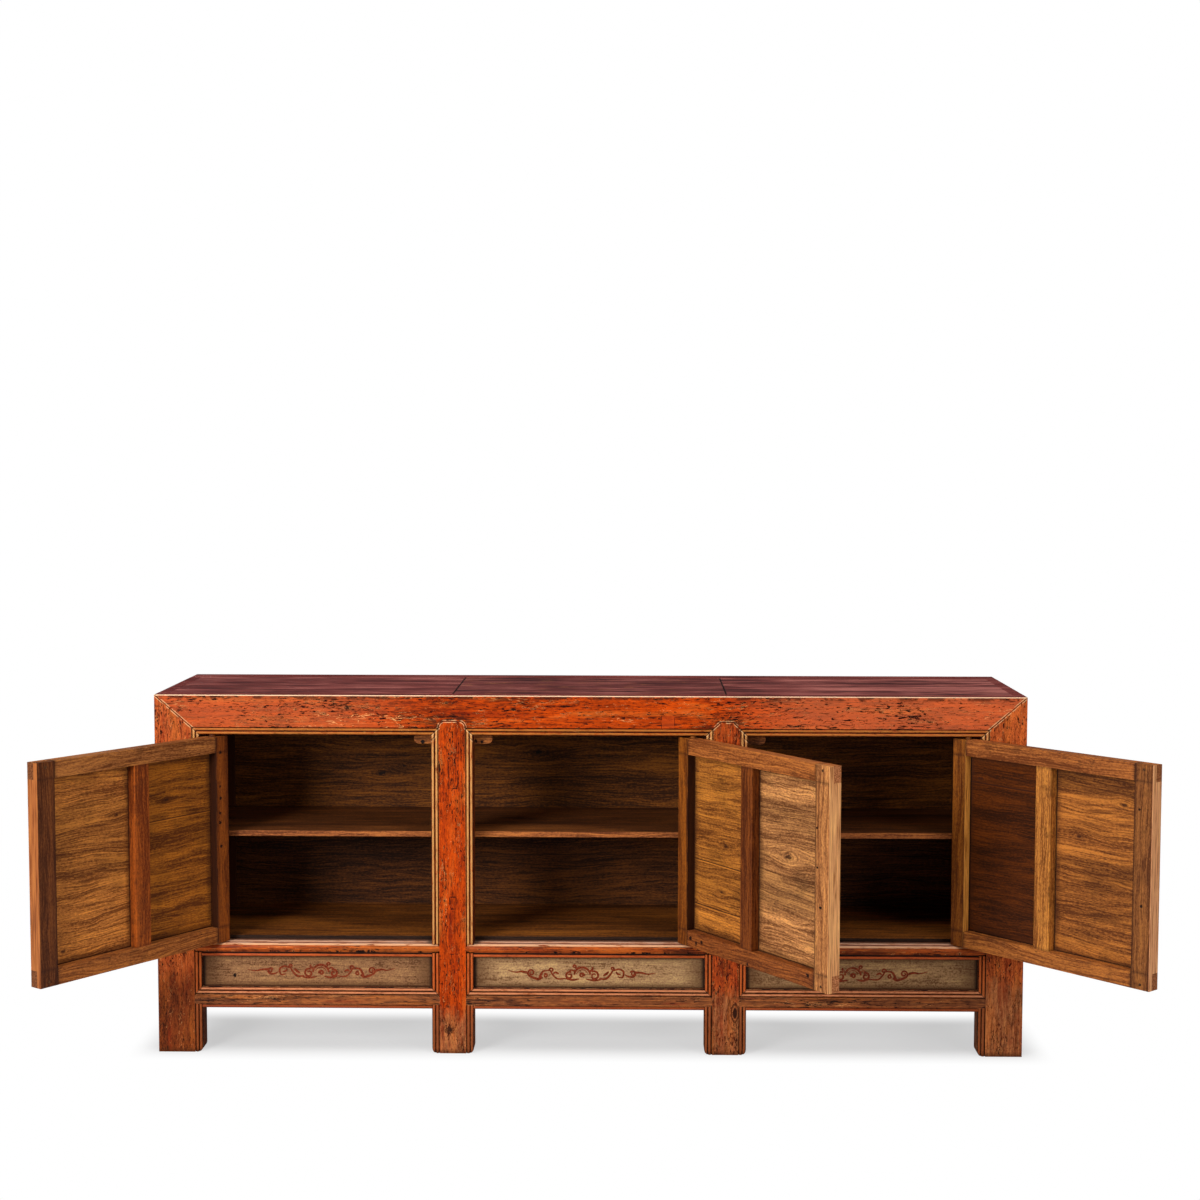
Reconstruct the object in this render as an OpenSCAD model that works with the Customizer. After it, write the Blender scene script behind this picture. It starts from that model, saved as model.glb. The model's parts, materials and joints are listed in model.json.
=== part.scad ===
// Long low painted sideboard: three bays with one panelled door on each, and all
// three doors standing open on wooden pins. The origin is on the floor, in the middle
// of the rectangle that the case and its open doors cover. X runs to the right along
// the front, Y runs to the back and Z is up. Inside the modules, places are measured
// from the middle of the case's front face, and stand() carries them to the origin.

/* [Case] */
// Width across the two end posts
case_w = 2150; // [1980:1:2320]
// Depth from the front face to the back edge of the top
case_d = 470; // [440:1:520]
// Height of the top above the floor
case_h = 898; // [860:1:940]

/* [Posts] */
// Width of an end post across the front
end_post_w = 110; // [96:1:124]
// Width of an inner post across the front
inner_post_w = 104; // [92:1:116]
// Thickness of the front posts and of the front top rail
post_depth = 50; // [50:1:56]
// Width of a back end post
back_post_w = 115; // [100:1:125]
// Thickness of the back end posts
back_post_depth = 74; // [66:1:80]
// Width of an inner back post
back_inner_w = 70; // [50:1:90]
// Rounding of the legs' lower corners
leg_round = 13; // [6:1:18]

/* [Beads] */
// Radius of the small beads beside the openings
bead_r = 4; // [3:0.25:4.25]
// Width of the strip that holds a pair of beads
bead_zone = 19; // [18:0.5:22]
// How far the crowns of the beads lie behind the flat face
bead_set = 1; // [0.5:0.25:2]
// Gap between two neighbouring beads
bead_gap = 1; // [0.5:0.25:1.5]
// Plain margin between the outer bead and the opening
bead_margin = 0.5; // [0.25:0.25:0.75]

/* [Front rails] */
// Height of the top rail
top_rail_h = 99; // [90:1:108]
// Clear height of the legs under the bottom rails
leg_clear = 112; // [90:1:140]
// Height of the bottom rails
bottom_rail_h = 53; // [50:1:60]
// Height of the painted apron panels that shows
apron_h = 78; // [60:1:100]
// Height of the door sills
sill_h = 32; // [31:0.5:36]
// Depth of the door sills' flat top, from the front face to the floor board
sill_depth = 51.5; // [51:0.5:56]
// Radius of the half round on the front of a sill
sill_round_r = 11; // [9:0.5:11.5]
// Height of the plain band on a bottom rail
band_h = 23; // [20:1:24]
// Radius of the bead under a bottom rail's band
low_bead_r = 4.5; // [3.5:0.25:4.75]
// Depth by which the rails' rounded noses lap into the posts
nose_lap = 12; // [10:0.5:13]
// Rounding of the corners of the bottom rails' noses
nose_corner = 5; // [2:0.5:9]
// Length of the stub tenons on sills and bottom rails
stub = 22; // [12:1:30]
// Height of the post heads above the beads of the top rail
head_rise = 16; // [10:1:24]
// Width of the flat top of the pointed post head
head_top_w = 31; // [20:1:40]
// Depth by which the post heads are let into the top rail
head_lap = 10; // [8:0.5:14]

/* [Panels and boards] */
// Thickness of the apron panels
apron_t = 12; // [10:0.5:13]
// Distance of the apron panels behind the front face
apron_set = 14; // [13.5:0.5:16]
// Depth of the grooves that hold panels
groove = 6; // [4:0.5:6.5]
// Thickness of the top's panels
top_t = 18; // [14:1:22]
// Width of the ledge that carries the top's panels
top_ledge = 12; // [8:1:16]
// Thickness of the side panels
side_panel_t = 12; // [10:1:14]
// Distance of the side panels behind the case's sides
side_panel_set = 27; // [20:1:27]
// Thickness of the side rails
side_rail_t = 40; // [32:1:46]
// Thickness of the back boards
back_board_t = 12; // [10:1:16]
// How far the back end posts stand in front of the back boards
back_reveal = 9; // [5:1:14]
// Thickness of the floor board
floor_t = 16; // [12:1:20]
// Height of the floor board's face above the sills
floor_lift = 9; // [5:1:12]
// Thickness of the shelf
shelf_t = 14; // [12:1:20]
// Height of the shelf's face above the floor board
shelf_rise = 265; // [220:1:310]
// Distance of the shelf's front edge behind the front face
shelf_set = 58; // [57:1:70]
// Width of the bearers under the shelf and the floor
bearer_w = 28; // [22:1:36]
// Height of the bearers under the shelf
bearer_h = 25; // [20:1:32]
// Width of the rails that cross under the top at the seams
cross_rail_w = 60; // [40:1:80]
// Height of the rails that cross under the top
cross_rail_h = 34; // [26:1:44]
// Height of the lower back rail
back_rail_h = 46; // [40:1:56]
// Height of the upper back rail
back_top_h = 84; // [70:1:95]
// Width of the seams between boards
seam = 0.8; // [0.5:0.1:1]

/* [Doors] */
// Thickness of a door's frame
door_t = 34; // [32:0.5:36]
// Distance of the shut doors behind the front face
door_set = 3; // [2.5:0.25:4]
// Gap beside the hinge stile
hinge_gap = 2.5; // [2:0.25:3.5]
// Gap beside the free stile
free_gap = 4; // [3:0.5:6]
// Gap over a door
head_gap = 5; // [3:0.5:7]
// Gap under a door
foot_gap = 3; // [2:0.5:5]
// Width of the hinge stile
hinge_stile_w = 38; // [36:1:46]
// Width of the free stile
free_stile_w = 48; // [42:1:56]
// Height of a door's rails
door_rail_h = 39; // [34:1:46]
// Width of the panel beside the hinge stile
hinge_panel_w = 211; // [190:1:230]
// Width of the muntin between the panels
muntin_w = 43; // [36:1:50]
// Thickness of the door panels
door_panel_t = 9; // [7:0.5:11]
// Distance of the panels behind the door's outer face
panel_set = 3; // [2:0.5:4]
// Thickness of the rails' laps that show on the free edge
lap_t = 22; // [20:0.5:24]
// Length of the tenons in the hinge stile
hinge_tenon = 26; // [20:1:29]
// Thickness of the tenons in the hinge stile
hinge_tenon_t = 9; // [7:0.5:9.5]
// Length of the muntin's tenons
muntin_tenon = 14; // [10:1:20]
// Radius of the pegs through the laps
peg_r = 3.5; // [2.5:0.25:4.5]
// Height of the pegs from the door's upper or lower edge
peg_edge = 12; // [9:1:16]
// How far the pegs stand out of the inner face
peg_proud = 0.5; // [0.2:0.1:0.7]

/* [Pins] */
// Radius of the wooden pins
pin_r = 7.5; // [5.5:0.25:8]
// Distance of the pins' axis from the hinge edge
pin_edge = 28; // [26:0.5:30]
// Distance of the pins' axis from the door's outer face
pin_depth = 10; // [9.5:0.25:11]
// Length of a pin inside its socket
pin_seat = 14; // [10:1:16]
// Radial clearance of a pin in its socket
pin_play = 0.08; // [0.04:0.01:0.1]
// Clearance at the end of a pin
pin_end = 0.3; // [0.2:0.05:0.4]
// Opening angle of the left door
left_open = 126; // [100:1:134]
// Opening angle of the middle door
middle_open = 125; // [100:1:125]
// Opening angle of the right door
right_open = 131.5; // [100:0.5:134]

/* [Door stops] */
// Length by which a stop reaches past its post
stop_reach = 46; // [30:1:60]
// Height of a stop
stop_h = 26; // [20:1:30]
// Thickness of a stop
stop_t = 12; // [9:0.5:12]
// Clearance between a shut door and its stop
stop_play = 1; // [0.8:0.1:1.5]

/* [Hidden] */
$fn = 32;

lacquer_red = [0.72, 0.21, 0.07];
lacquer_maroon = [0.30, 0.10, 0.08];
painted_beige = [0.62, 0.53, 0.40];
bare_wood = [0.52, 0.30, 0.13];
dark_wood = [0.26, 0.15, 0.07];

bay_w = (case_w - 2 * end_post_w - 2 * inner_post_w) / 3;
fit = 0.2;
over = 1;

opening_top = case_h - top_rail_h;
bottom_rail_top = leg_clear + bottom_rail_h;
sill_z = bottom_rail_top + apron_h;
sill_top = sill_z + sill_h;
sill_round_z = sill_top - sill_round_r;
sill_bead_top = sill_z + 2 * bead_r;
band_z = leg_clear + 2 * low_bead_r + bead_gap;
bead_ground = bead_set + bead_r;
low_ground = bead_set + low_bead_r;
floor_z = sill_top + floor_lift - floor_t;
floor_top = floor_z + floor_t;
floor_ledge = 14;
shoulder = 7;
head_flank = 1;
nose_flank = 0.5;
sill_line_gap = 1;
sill_line_w = 3;
sill_line_d = 1.5;
band_top = band_z + band_h;
mitre_z = bottom_rail_top - bead_zone;
shelf_z = floor_top + shelf_rise - shelf_t;
top_z = case_h - top_t;

back_post_y = case_d - back_post_depth;
board_y = back_post_y + back_reveal;
board_back = board_y + back_board_t;
back_rail_y = board_y;
back_rail_lap = 16;
side_outer = case_w / 2;
side_panel_x = side_outer - side_panel_set;
side_inner = side_outer - side_rail_t;

door_bottom = sill_top + foot_gap;
door_top = opening_top - head_gap;
door_w = bay_w - hinge_gap - free_gap;
pin_x = hinge_gap + pin_edge;
pin_y = door_set + pin_depth;
free_u = door_w - pin_edge;
inner_v = door_t - pin_depth;
panel_v = panel_set - pin_depth;
muntin_u = hinge_stile_w + hinge_panel_w - pin_edge;
tenon_wall = 1;
tenon_v = panel_v + door_panel_t + tenon_wall;
door_shoulder = 6;
stop_y = door_set + door_t + stop_play;

// Left and right edges of a bay, counted from the left
function bay_left(bay) = -case_w / 2 + end_post_w + bay * (bay_w + inner_post_w);
function bay_right(bay) = bay_left(bay) + bay_w;
function post_mid(bay) = bay_right(bay) + inner_post_w / 2;
function pivot_x(bay) = bay == 0 ? bay_left(0) + pin_x : bay_right(bay) - pin_x;

// How far an open door's free edge reaches to its own side and to the front
function side_reach(open) = -free_u * cos(open) + pin_depth * sin(open);
function front_reach(open) = free_u * sin(open) - inner_v * cos(open);

left_end = pivot_x(0) - side_reach(left_open);
right_end = pivot_x(2) + side_reach(right_open);
front_end = pin_y - max(front_reach(left_open), front_reach(middle_open), front_reach(right_open));
frame_x = (left_end + right_end) / 2;
frame_y = (front_end + case_d) / 2;

// Carries places measured from the case's front face to the frame's origin
module stand() {
    translate([-frame_x, -frame_y, 0]) children();
}

module box(low, high) {
    translate(low) cube(high - low);
}

// Extrudes an outline drawn in X and Z from one depth to another
module upright(from_y, to_y) {
    translate([0, to_y, 0]) rotate([90, 0, 0]) linear_extrude(to_y - from_y) children();
}

// Extrudes a section drawn in Y and Z along X
module along(from_x, to_x) {
    translate([from_x, 0, 0]) rotate([90, 0, 90]) linear_extrude(to_x - from_x) children();
}

// Ground for a pair of beads beside an edge at zero, cut from the flat face
module bead_cut() {
    translate([-over, -over]) square([bead_zone + over, bead_ground + over]);
}

module bead_pair() {
    for (n = [0, 1]) {
        translate([bead_margin + bead_r + n * (2 * bead_r + bead_gap), bead_ground]) circle(bead_r);
    }
}

// Plan of a front post whose beaded edge or edges face an opening
module post_plan(w, left_beads, right_beads) {
    difference() {
        square([w, post_depth]);
        if (left_beads) bead_cut();
        if (right_beads) translate([w, 0]) mirror([1, 0]) bead_cut();
    }
    if (left_beads) bead_pair();
    if (right_beads) translate([w, 0]) mirror([1, 0]) bead_pair();
}

// Waste outside the rounding of a leg's lower corner at zero
module leg_corner() {
    difference() {
        translate([-over, -over]) square(leg_round + over);
        translate([leg_round, leg_round]) circle(leg_round);
    }
}

// Cuts in a post's side face at zero for the rails and the apron panel of one bay
module bay_joints() {
    box([-over, -over, sill_top - 2 * sill_round_r], [bead_zone, nose_lap, sill_top]);
    box([-over, -over, band_z], [bead_zone, nose_lap, band_top]);
    upright(-over, nose_lap) polygon([
        [-over, band_top - over], [bead_zone, band_top - over],
        [bead_zone, mitre_z], [-over, bottom_rail_top + over]
    ]);
    box([-over, apron_set, bottom_rail_top - groove], [groove, apron_set + apron_t, sill_z + groove]);
    stub_tenon(-over, stub, leg_clear, bottom_rail_top, fit);
    stub_tenon(-over, stub, sill_z, sill_top - pin_seat, fit);
}

// Stub tenon of a rail between two heights, widened by a gap for its mortise
module stub_tenon(from_x, to_x, low, high, gap) {
    box(
        [from_x - gap, apron_set + apron_t + shoulder - gap, low + shoulder - gap],
        [to_x + gap, post_depth - shoulder + gap, high - shoulder + gap]
    );
}

module end_post(side) {
    mirror([side > 0 ? 1 : 0, 0, 0]) translate([-side_outer, 0, 0]) difference() {
        intersection() {
            linear_extrude(case_h) post_plan(end_post_w, false, true);
            upright(-over, post_depth + over) difference() {
                polygon([
                    [0, 0], [end_post_w, 0], [end_post_w, opening_top],
                    [end_post_w - bead_zone, opening_top + bead_zone], [0, case_h]
                ]);
                translate([end_post_w, 0]) mirror([1, 0]) leg_corner();
            }
        }
        translate([end_post_w, 0, 0]) mirror([1, 0, 0]) bay_joints();
        side_groove(post_depth - groove, post_depth + over);
    }
}

// Groove for a side panel, measured from the post's outer face
module side_groove(from_y, to_y) {
    box(
        [side_outer - side_panel_x, from_y, bottom_rail_top - groove],
        [side_outer - side_panel_x + side_panel_t, to_y, opening_top + groove]
    );
}

// Outline of a post head let into the top rail, with mitres beside it; gap widens it
module head_outline(pointed, gap) {
    half = inner_post_w / 2;
    flat = half - bead_zone;
    rise = opening_top + bead_zone;
    crown = rise + head_rise;
    corner = head_rise - head_flank;
    polygon([
        [-half - gap, opening_top - over], [half + gap, opening_top - over],
        [half + gap, opening_top], [flat + gap, rise], [-flat - gap, rise], [-half - gap, opening_top]
    ]);
    if (pointed) {
        polygon([
            [-flat - gap, rise - over], [flat + gap, rise - over], [flat + gap, rise],
            [head_top_w / 2 + gap, crown + gap], [-head_top_w / 2 - gap, crown + gap], [-flat - gap, rise]
        ]);
    } else {
        translate([-flat - gap, rise - over]) square([2 * (flat + gap), over + head_rise - corner]);
        for (x = [-1, 1]) {
            translate([x * (flat - corner), crown - corner]) circle(corner + gap);
        }
        translate([corner - flat, rise - over]) square([2 * (flat - corner), over + head_rise + gap]);
    }
}

module inner_post(bay, pointed) {
    stop_z = opening_top - stop_h;
    translate([post_mid(bay), 0, 0]) difference() {
        union() {
            difference() {
                translate([-inner_post_w / 2, 0, 0]) linear_extrude(opening_top) {
                    post_plan(inner_post_w, true, true);
                }
                for (x = [0, 1]) {
                    mirror([x, 0, 0]) translate([-inner_post_w / 2, 0, 0]) {
                        upright(-over, post_depth + over) leg_corner();
                    }
                }
            }
            intersection() {
                translate([-inner_post_w / 2, 0, opening_top - over]) linear_extrude(top_rail_h) {
                    post_plan(inner_post_w, true, true);
                }
                upright(-over, head_lap) head_outline(pointed, 0);
            }
        }
        for (x = [0, 1]) {
            mirror([x, 0, 0]) translate([-inner_post_w / 2, 0, 0]) bay_joints();
        }
        box(
            [-inner_post_w / 2 - over, stop_y, stop_z - fit],
            [inner_post_w / 2 + over, post_depth + over, opening_top + over]
        );
    }
}

module back_end_post(side) {
    mirror([side > 0 ? 1 : 0, 0, 0]) translate([-side_outer, 0, 0]) difference() {
        box([0, back_post_y, 0], [back_post_w, case_d, top_z]);
        side_groove(back_post_y - over, back_post_y + groove);
        box(
            [back_post_w - groove, board_y, floor_top - fit],
            [back_post_w + over, board_back, top_z + over]
        );
        back_tenon(back_post_w - stub, back_post_w + over, fit);
    }
}

// Stub tenon of the lower back rail, widened by a gap for its mortise
module back_tenon(from_x, to_x, gap) {
    box(
        [from_x - gap, back_rail_y + 2 * shoulder - gap, floor_z - back_rail_h + shoulder - gap],
        [to_x + gap, case_d - 2 * shoulder + gap, floor_z - shoulder + gap]
    );
}

module back_inner() {
    for (bay = [0, 1]) {
        translate([post_mid(bay), 0, 0]) difference() {
            box([-back_inner_w / 2, board_back, 0], [back_inner_w / 2, case_d, case_h - back_top_h]);
            box(
                [-back_inner_w, back_rail_y - over, floor_z - back_rail_h],
                [back_inner_w, case_d - back_rail_lap, floor_z]
            );
        }
    }
}

// Section of the front top rail, in Y and Z
module top_rail_section() {
    difference() {
        translate([0, opening_top]) square([post_depth, top_rail_h]);
        translate([0, opening_top]) mirror([1, -1]) bead_cut();
    }
    translate([0, opening_top]) mirror([1, -1]) bead_pair();
}

// Outline of the front top rail, in X and Z, with mitred ends
module top_rail_outline() {
    inner = side_outer - end_post_w;
    flat = inner + bead_zone;
    polygon([
        [-side_outer, case_h], [-flat, opening_top + bead_zone], [-inner, opening_top],
        [inner, opening_top], [flat, opening_top + bead_zone], [side_outer, case_h]
    ]);
}

module front_top_rail() {
    end = side_inner + top_ledge;
    difference() {
        intersection() {
            along(-side_outer, side_outer) top_rail_section();
            upright(-over, post_depth + over) top_rail_outline();
        }
        for (bay = [0, 1]) {
            translate([post_mid(bay), 0, 0]) {
                upright(-over, head_lap + fit) head_outline(bay == 1, fit);
            }
        }
        for (bay = [0, 1, 2]) {
            pin_socket(bay, opening_top - over, opening_top + pin_seat + pin_end);
        }
        box([-end, post_depth - top_ledge, top_z], [end, post_depth + over, case_h + over]);
    }
}

// Room for the end of the left top panel on a side rail's ledge
module top_seat(from_y, to_y) {
    box([-side_inner - top_ledge, from_y, top_z], [over - side_inner, to_y, case_h + over]);
}

module pin_socket(bay, from_z, to_z) {
    translate([pivot_x(bay), pin_y, from_z]) cylinder(r = pin_r + pin_play, h = to_z - from_z);
}

module back_top_rail() {
    end = side_outer - back_post_w;
    seat = side_inner + top_ledge;
    difference() {
        union() {
            box([-side_outer, back_post_y, top_z], [side_outer, case_d, case_h]);
            box([-end, board_back, case_h - back_top_h], [end, case_d, top_z + over]);
        }
        box([-seat, back_post_y - over, top_z], [seat, back_post_y + top_ledge, case_h + over]);
    }
}

module side_top_rail(side) {
    mirror([side > 0 ? 1 : 0, 0, 0]) difference() {
        box([-side_outer, post_depth, opening_top], [-side_inner, back_post_y, case_h]);
        top_seat(post_depth - over, back_post_y + over);
        translate([-side_outer, 0, 0]) side_groove(post_depth - over, back_post_y + over);
    }
}

module cross_rail() {
    for (bay = [0, 1]) {
        translate([post_mid(bay), 0, 0]) {
            box([-cross_rail_w / 2, post_depth, top_z - cross_rail_h], [cross_rail_w / 2, board_y, top_z]);
        }
    }
}

// A panel of the top over one bay
module top_panel(bay) {
    left = bay == 0 ? -side_inner - top_ledge : post_mid(bay - 1) + seam / 2;
    right = bay == 2 ? side_inner + top_ledge : post_mid(bay) - seam / 2;
    box([left, post_depth - top_ledge, top_z], [right, back_post_y + top_ledge, case_h]);
}

// Section of a door sill: bead, half round, flat top and the floor board's ledge
module sill_section() {
    difference() {
        union() {
            translate([bead_ground, sill_z]) {
                square([sill_depth + floor_ledge - bead_ground, floor_z - sill_z]);
            }
            translate([bead_ground, sill_z + bead_r]) circle(bead_r);
            translate([sill_round_r, sill_round_z]) circle(sill_round_r);
            translate([sill_round_r, sill_bead_top - over]) {
                square([sill_depth - sill_round_r, sill_top - sill_bead_top + over]);
            }
        }
        translate([pin_y + pin_r + sill_line_gap, sill_top - sill_line_d]) {
            square([sill_line_w, sill_line_d + over]);
        }
        translate([apron_set, sill_z - over]) square([apron_t, groove + over]);
    }
}

// Outline of a rail with its noses over both posts, in X and Z, with rounded corners
module nose_outline(bay, low, high, r) {
    left = bay_left(bay) - bead_zone;
    right = bay_right(bay) + bead_zone;
    translate([left + r, low]) square([right - left - 2 * r, high - low]);
    translate([left, low + r]) square([right - left, high - low - 2 * r]);
    for (x = [left + r, right - r]) {
        for (z = [low + r, high - r]) {
            translate([x, z]) circle(r);
        }
    }
}

module sill(bay) {
    difference() {
        union() {
            along(bay_left(bay), bay_right(bay)) sill_section();
            intersection() {
                along(bay_left(bay) - bead_zone, bay_right(bay) + bead_zone) {
                    translate([sill_round_r, sill_round_z]) circle(sill_round_r);
                }
                upright(-over, nose_lap) {
                    nose_outline(bay, sill_top - 2 * sill_round_r, sill_top, sill_round_r - nose_flank);
                }
            }
            stub_tenon(bay_left(bay) - stub, bay_right(bay) + stub, sill_z, sill_top - pin_seat, 0);
        }
        pin_socket(bay, sill_top - pin_seat - pin_end, sill_top + over);
    }
}

// Section of a bottom rail: two beads, a plain band and a lower bead
module bottom_rail_section() {
    translate([low_ground, leg_clear]) square([post_depth - low_ground, bottom_rail_h]);
    translate([low_ground, leg_clear + low_bead_r]) circle(low_bead_r);
    translate([0, band_z]) square([post_depth, band_h]);
    translate([0, bottom_rail_top]) rotate(-90) bead_pair();
}

// Front of a bottom rail's two beads, which goes on into the posts
module bottom_beads_section() {
    translate([low_ground, band_top - over]) square([nose_lap - low_ground, bottom_rail_top - band_top + over]);
    translate([0, bottom_rail_top]) rotate(-90) bead_pair();
}

// Outline of a bottom rail's beads with their mitred ends, in X and Z
module mitre_outline(bay) {
    polygon([
        [bay_left(bay) - bead_zone, band_top - over], [bay_right(bay) + bead_zone, band_top - over],
        [bay_right(bay) + bead_zone, mitre_z], [bay_right(bay), bottom_rail_top],
        [bay_left(bay), bottom_rail_top], [bay_left(bay) - bead_zone, mitre_z]
    ]);
}

module bottom_rail(bay) {
    difference() {
        union() {
            along(bay_left(bay), bay_right(bay)) bottom_rail_section();
            upright(0, nose_lap) nose_outline(bay, band_z, band_top, nose_corner);
            intersection() {
                along(bay_left(bay) - bead_zone, bay_right(bay) + bead_zone) bottom_beads_section();
                upright(0, nose_lap) mitre_outline(bay);
            }
            stub_tenon(bay_left(bay) - stub, bay_right(bay) + stub, leg_clear, bottom_rail_top, 0);
        }
        box(
            [bay_left(bay) - over, apron_set, bottom_rail_top - groove],
            [bay_right(bay) + over, apron_set + apron_t, bottom_rail_top + over]
        );
    }
}

module apron_panel(bay) {
    box(
        [bay_left(bay) - groove + fit, apron_set + fit, bottom_rail_top - groove + fit],
        [bay_right(bay) + groove - fit, apron_set + apron_t - fit, sill_z + groove - fit]
    );
}

module side_rail(side) {
    mirror([side > 0 ? 1 : 0, 0, 0]) difference() {
        box([-side_outer, post_depth, leg_clear], [-side_inner, back_post_y, bottom_rail_top]);
        translate([-side_outer, 0, 0]) side_groove(post_depth - over, back_post_y + over);
    }
}

module side_panel(side) {
    mirror([side > 0 ? 1 : 0, 0, 0]) box(
        [-side_panel_x + fit, post_depth - groove + fit, bottom_rail_top - groove + fit],
        [-side_panel_x + side_panel_t - fit, back_post_y + groove - fit, opening_top + groove - fit]
    );
}

module lower_back_rail() {
    end = side_outer - back_post_w;
    z = floor_z - back_rail_h;
    for (side = [0, 1]) {
        mirror([side, 0, 0]) back_tenon(-end - stub, over - end, 0);
    }
    difference() {
        box([-end, back_rail_y, z], [end, case_d, floor_z]);
        for (bay = [0, 1]) {
            box(
                [post_mid(bay) - back_inner_w / 2, case_d - back_rail_lap, z - over],
                [post_mid(bay) + back_inner_w / 2, case_d + over, floor_z + over]
            );
        }
    }
}

// A back board from one height to another, its ends in the end posts' grooves
module back_board(low, high) {
    end = side_outer - back_post_w + groove - fit;
    box([-end, board_y, low], [end, board_back, high]);
}

// A board between the side panels, notched round the back end posts
module notched_board(from_y, to_y, low, high) {
    end = side_panel_x - side_panel_t;
    notch = side_outer - back_post_w;
    difference() {
        box([-end, from_y, low], [end, to_y, high]);
        for (side = [0, 1]) {
            mirror([side, 0, 0]) {
                box([notch, back_post_y, low - over], [end + over, to_y + over, high + over]);
            }
        }
    }
}

module shelf_board() {
    notched_board(shelf_set, board_y, shelf_z, shelf_z + shelf_t);
}

module shelf_bearer() {
    end = side_panel_x - side_panel_t;
    for (bay = [0, 1]) {
        translate([post_mid(bay), 0, 0]) {
            box([-bearer_w / 2, post_depth, shelf_z - bearer_h], [bearer_w / 2, board_y, shelf_z]);
        }
    }
    for (side = [0, 1]) {
        mirror([side, 0, 0]) {
            box([-end, post_depth, shelf_z - bearer_h], [bearer_w - end, back_post_y, shelf_z]);
        }
    }
}

module floor_panel() {
    notched_board(sill_depth, board_back, floor_z, floor_top);
}

module floor_bearer() {
    for (bay = [0, 1]) {
        translate([post_mid(bay), 0, 0]) {
            box([-bearer_w / 2, post_depth, floor_z - back_rail_h], [bearer_w / 2, board_y, floor_z]);
        }
    }
}

// Outline of a stop with round ends, in X and Z
module stop_outline(from_x, to_x) {
    r = stop_h / 2;
    z = opening_top - r;
    translate([from_x + r, z - r]) square([to_x - from_x - 2 * r, 2 * r]);
    for (x = [from_x + r, to_x - r]) {
        translate([x, z]) circle(r);
    }
}

module stops() {
    half = inner_post_w / 2;
    upright(stop_y, stop_y + stop_t) {
        stop_outline(post_mid(0) - half - stop_reach, post_mid(0) + half + stop_reach);
    }
    upright(stop_y, stop_y + stop_t) stop_outline(post_mid(1) - half, post_mid(1) + half + stop_reach);
}

// Carries a door drawn shut about its own pins to its place in a bay, and opens it
module hang(bay, open) {
    stand() translate([pivot_x(bay), pin_y, 0]) mirror([bay == 0 ? 0 : 1, 0, 0]) {
        rotate([0, 0, -open]) children();
    }
}

module hinge_stile() {
    low = door_bottom;
    high = door_top;
    difference() {
        union() {
            box([-pin_edge, -pin_depth, low], [hinge_stile_w - pin_edge, inner_v, high]);
            translate([0, 0, sill_top - pin_seat]) cylinder(r = pin_r, h = low - sill_top + pin_seat + over);
            translate([0, 0, high - over]) cylinder(r = pin_r, h = opening_top + pin_seat - high + over);
        }
        panel_groove(hinge_stile_w - pin_edge - groove, hinge_stile_w - pin_edge + over);
        for (z = [low, high - door_rail_h]) {
            hinge_tenon_box(z, fit);
        }
    }
}

// Groove in an upright's edge for a panel
module panel_groove(from_u, to_u) {
    box(
        [from_u, panel_v, door_bottom + door_rail_h - groove],
        [to_u, panel_v + door_panel_t, door_top - door_rail_h + groove]
    );
}

// Tenon of a rail in the hinge stile, widened by a clearance for its mortise
module hinge_tenon_box(z, gap) {
    u = hinge_stile_w - pin_edge;
    box(
        [u - hinge_tenon - gap, tenon_v - gap, z + door_shoulder - gap],
        [u + over, tenon_v + hinge_tenon_t + gap, z + door_rail_h - door_shoulder + gap]
    );
}

module free_stile() {
    u = free_u - free_stile_w;
    difference() {
        box([u, -pin_depth, door_bottom], [free_u, inner_v, door_top]);
        panel_groove(u - over, u + groove);
        for (z = [door_bottom - over, door_top - door_rail_h]) {
            box([u - over, -pin_depth - over, z], [free_u + over, lap_t - pin_depth, z + door_rail_h + over]);
        }
        lap_pegs(over);
    }
}

// Rail of a door: z is its lower edge, and the groove is in its upper or lower edge
module door_rail(z, groove_z) {
    u = hinge_stile_w - pin_edge;
    end = free_u - free_stile_w;
    difference() {
        union() {
            box([u, -pin_depth, z], [end, inner_v, z + door_rail_h]);
            box([end - over, -pin_depth, z], [free_u, lap_t - pin_depth, z + door_rail_h]);
            hinge_tenon_box(z, 0);
        }
        box([u - over, panel_v, groove_z], [end + groove, panel_v + door_panel_t, groove_z + groove + over]);
        muntin_core(fit);
        lap_pegs(over);
    }
}

module muntin() {
    low = door_bottom + door_rail_h;
    high = door_top - door_rail_h;
    difference() {
        union() {
            box([muntin_u, -pin_depth, low], [muntin_u + muntin_w, inner_v, high]);
            muntin_core(0);
        }
        panel_groove(muntin_u - over, muntin_u + groove);
        panel_groove(muntin_u + muntin_w - groove, muntin_u + muntin_w + over);
    }
}

// Core of the muntin with its tenons, widened by a gap for their mortises
module muntin_core(gap) {
    low = door_bottom + door_rail_h - muntin_tenon;
    high = door_top - door_rail_h + muntin_tenon;
    box(
        [muntin_u - gap, tenon_v - gap, low - gap],
        [muntin_u + muntin_w + gap, tenon_v + hinge_tenon_t + gap, high + gap]
    );
}

// Panel between two uprights
module door_panel(from_u, to_u) {
    box(
        [from_u - groove + fit, panel_v + fit, door_bottom + door_rail_h - groove + fit],
        [to_u + groove - fit, panel_v + door_panel_t - fit, door_top - door_rail_h + groove - fit]
    );
}

module hinge_panel() {
    door_panel(hinge_stile_w - pin_edge, muntin_u);
}

module free_panel() {
    door_panel(muntin_u + muntin_w, free_u - free_stile_w);
}

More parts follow.
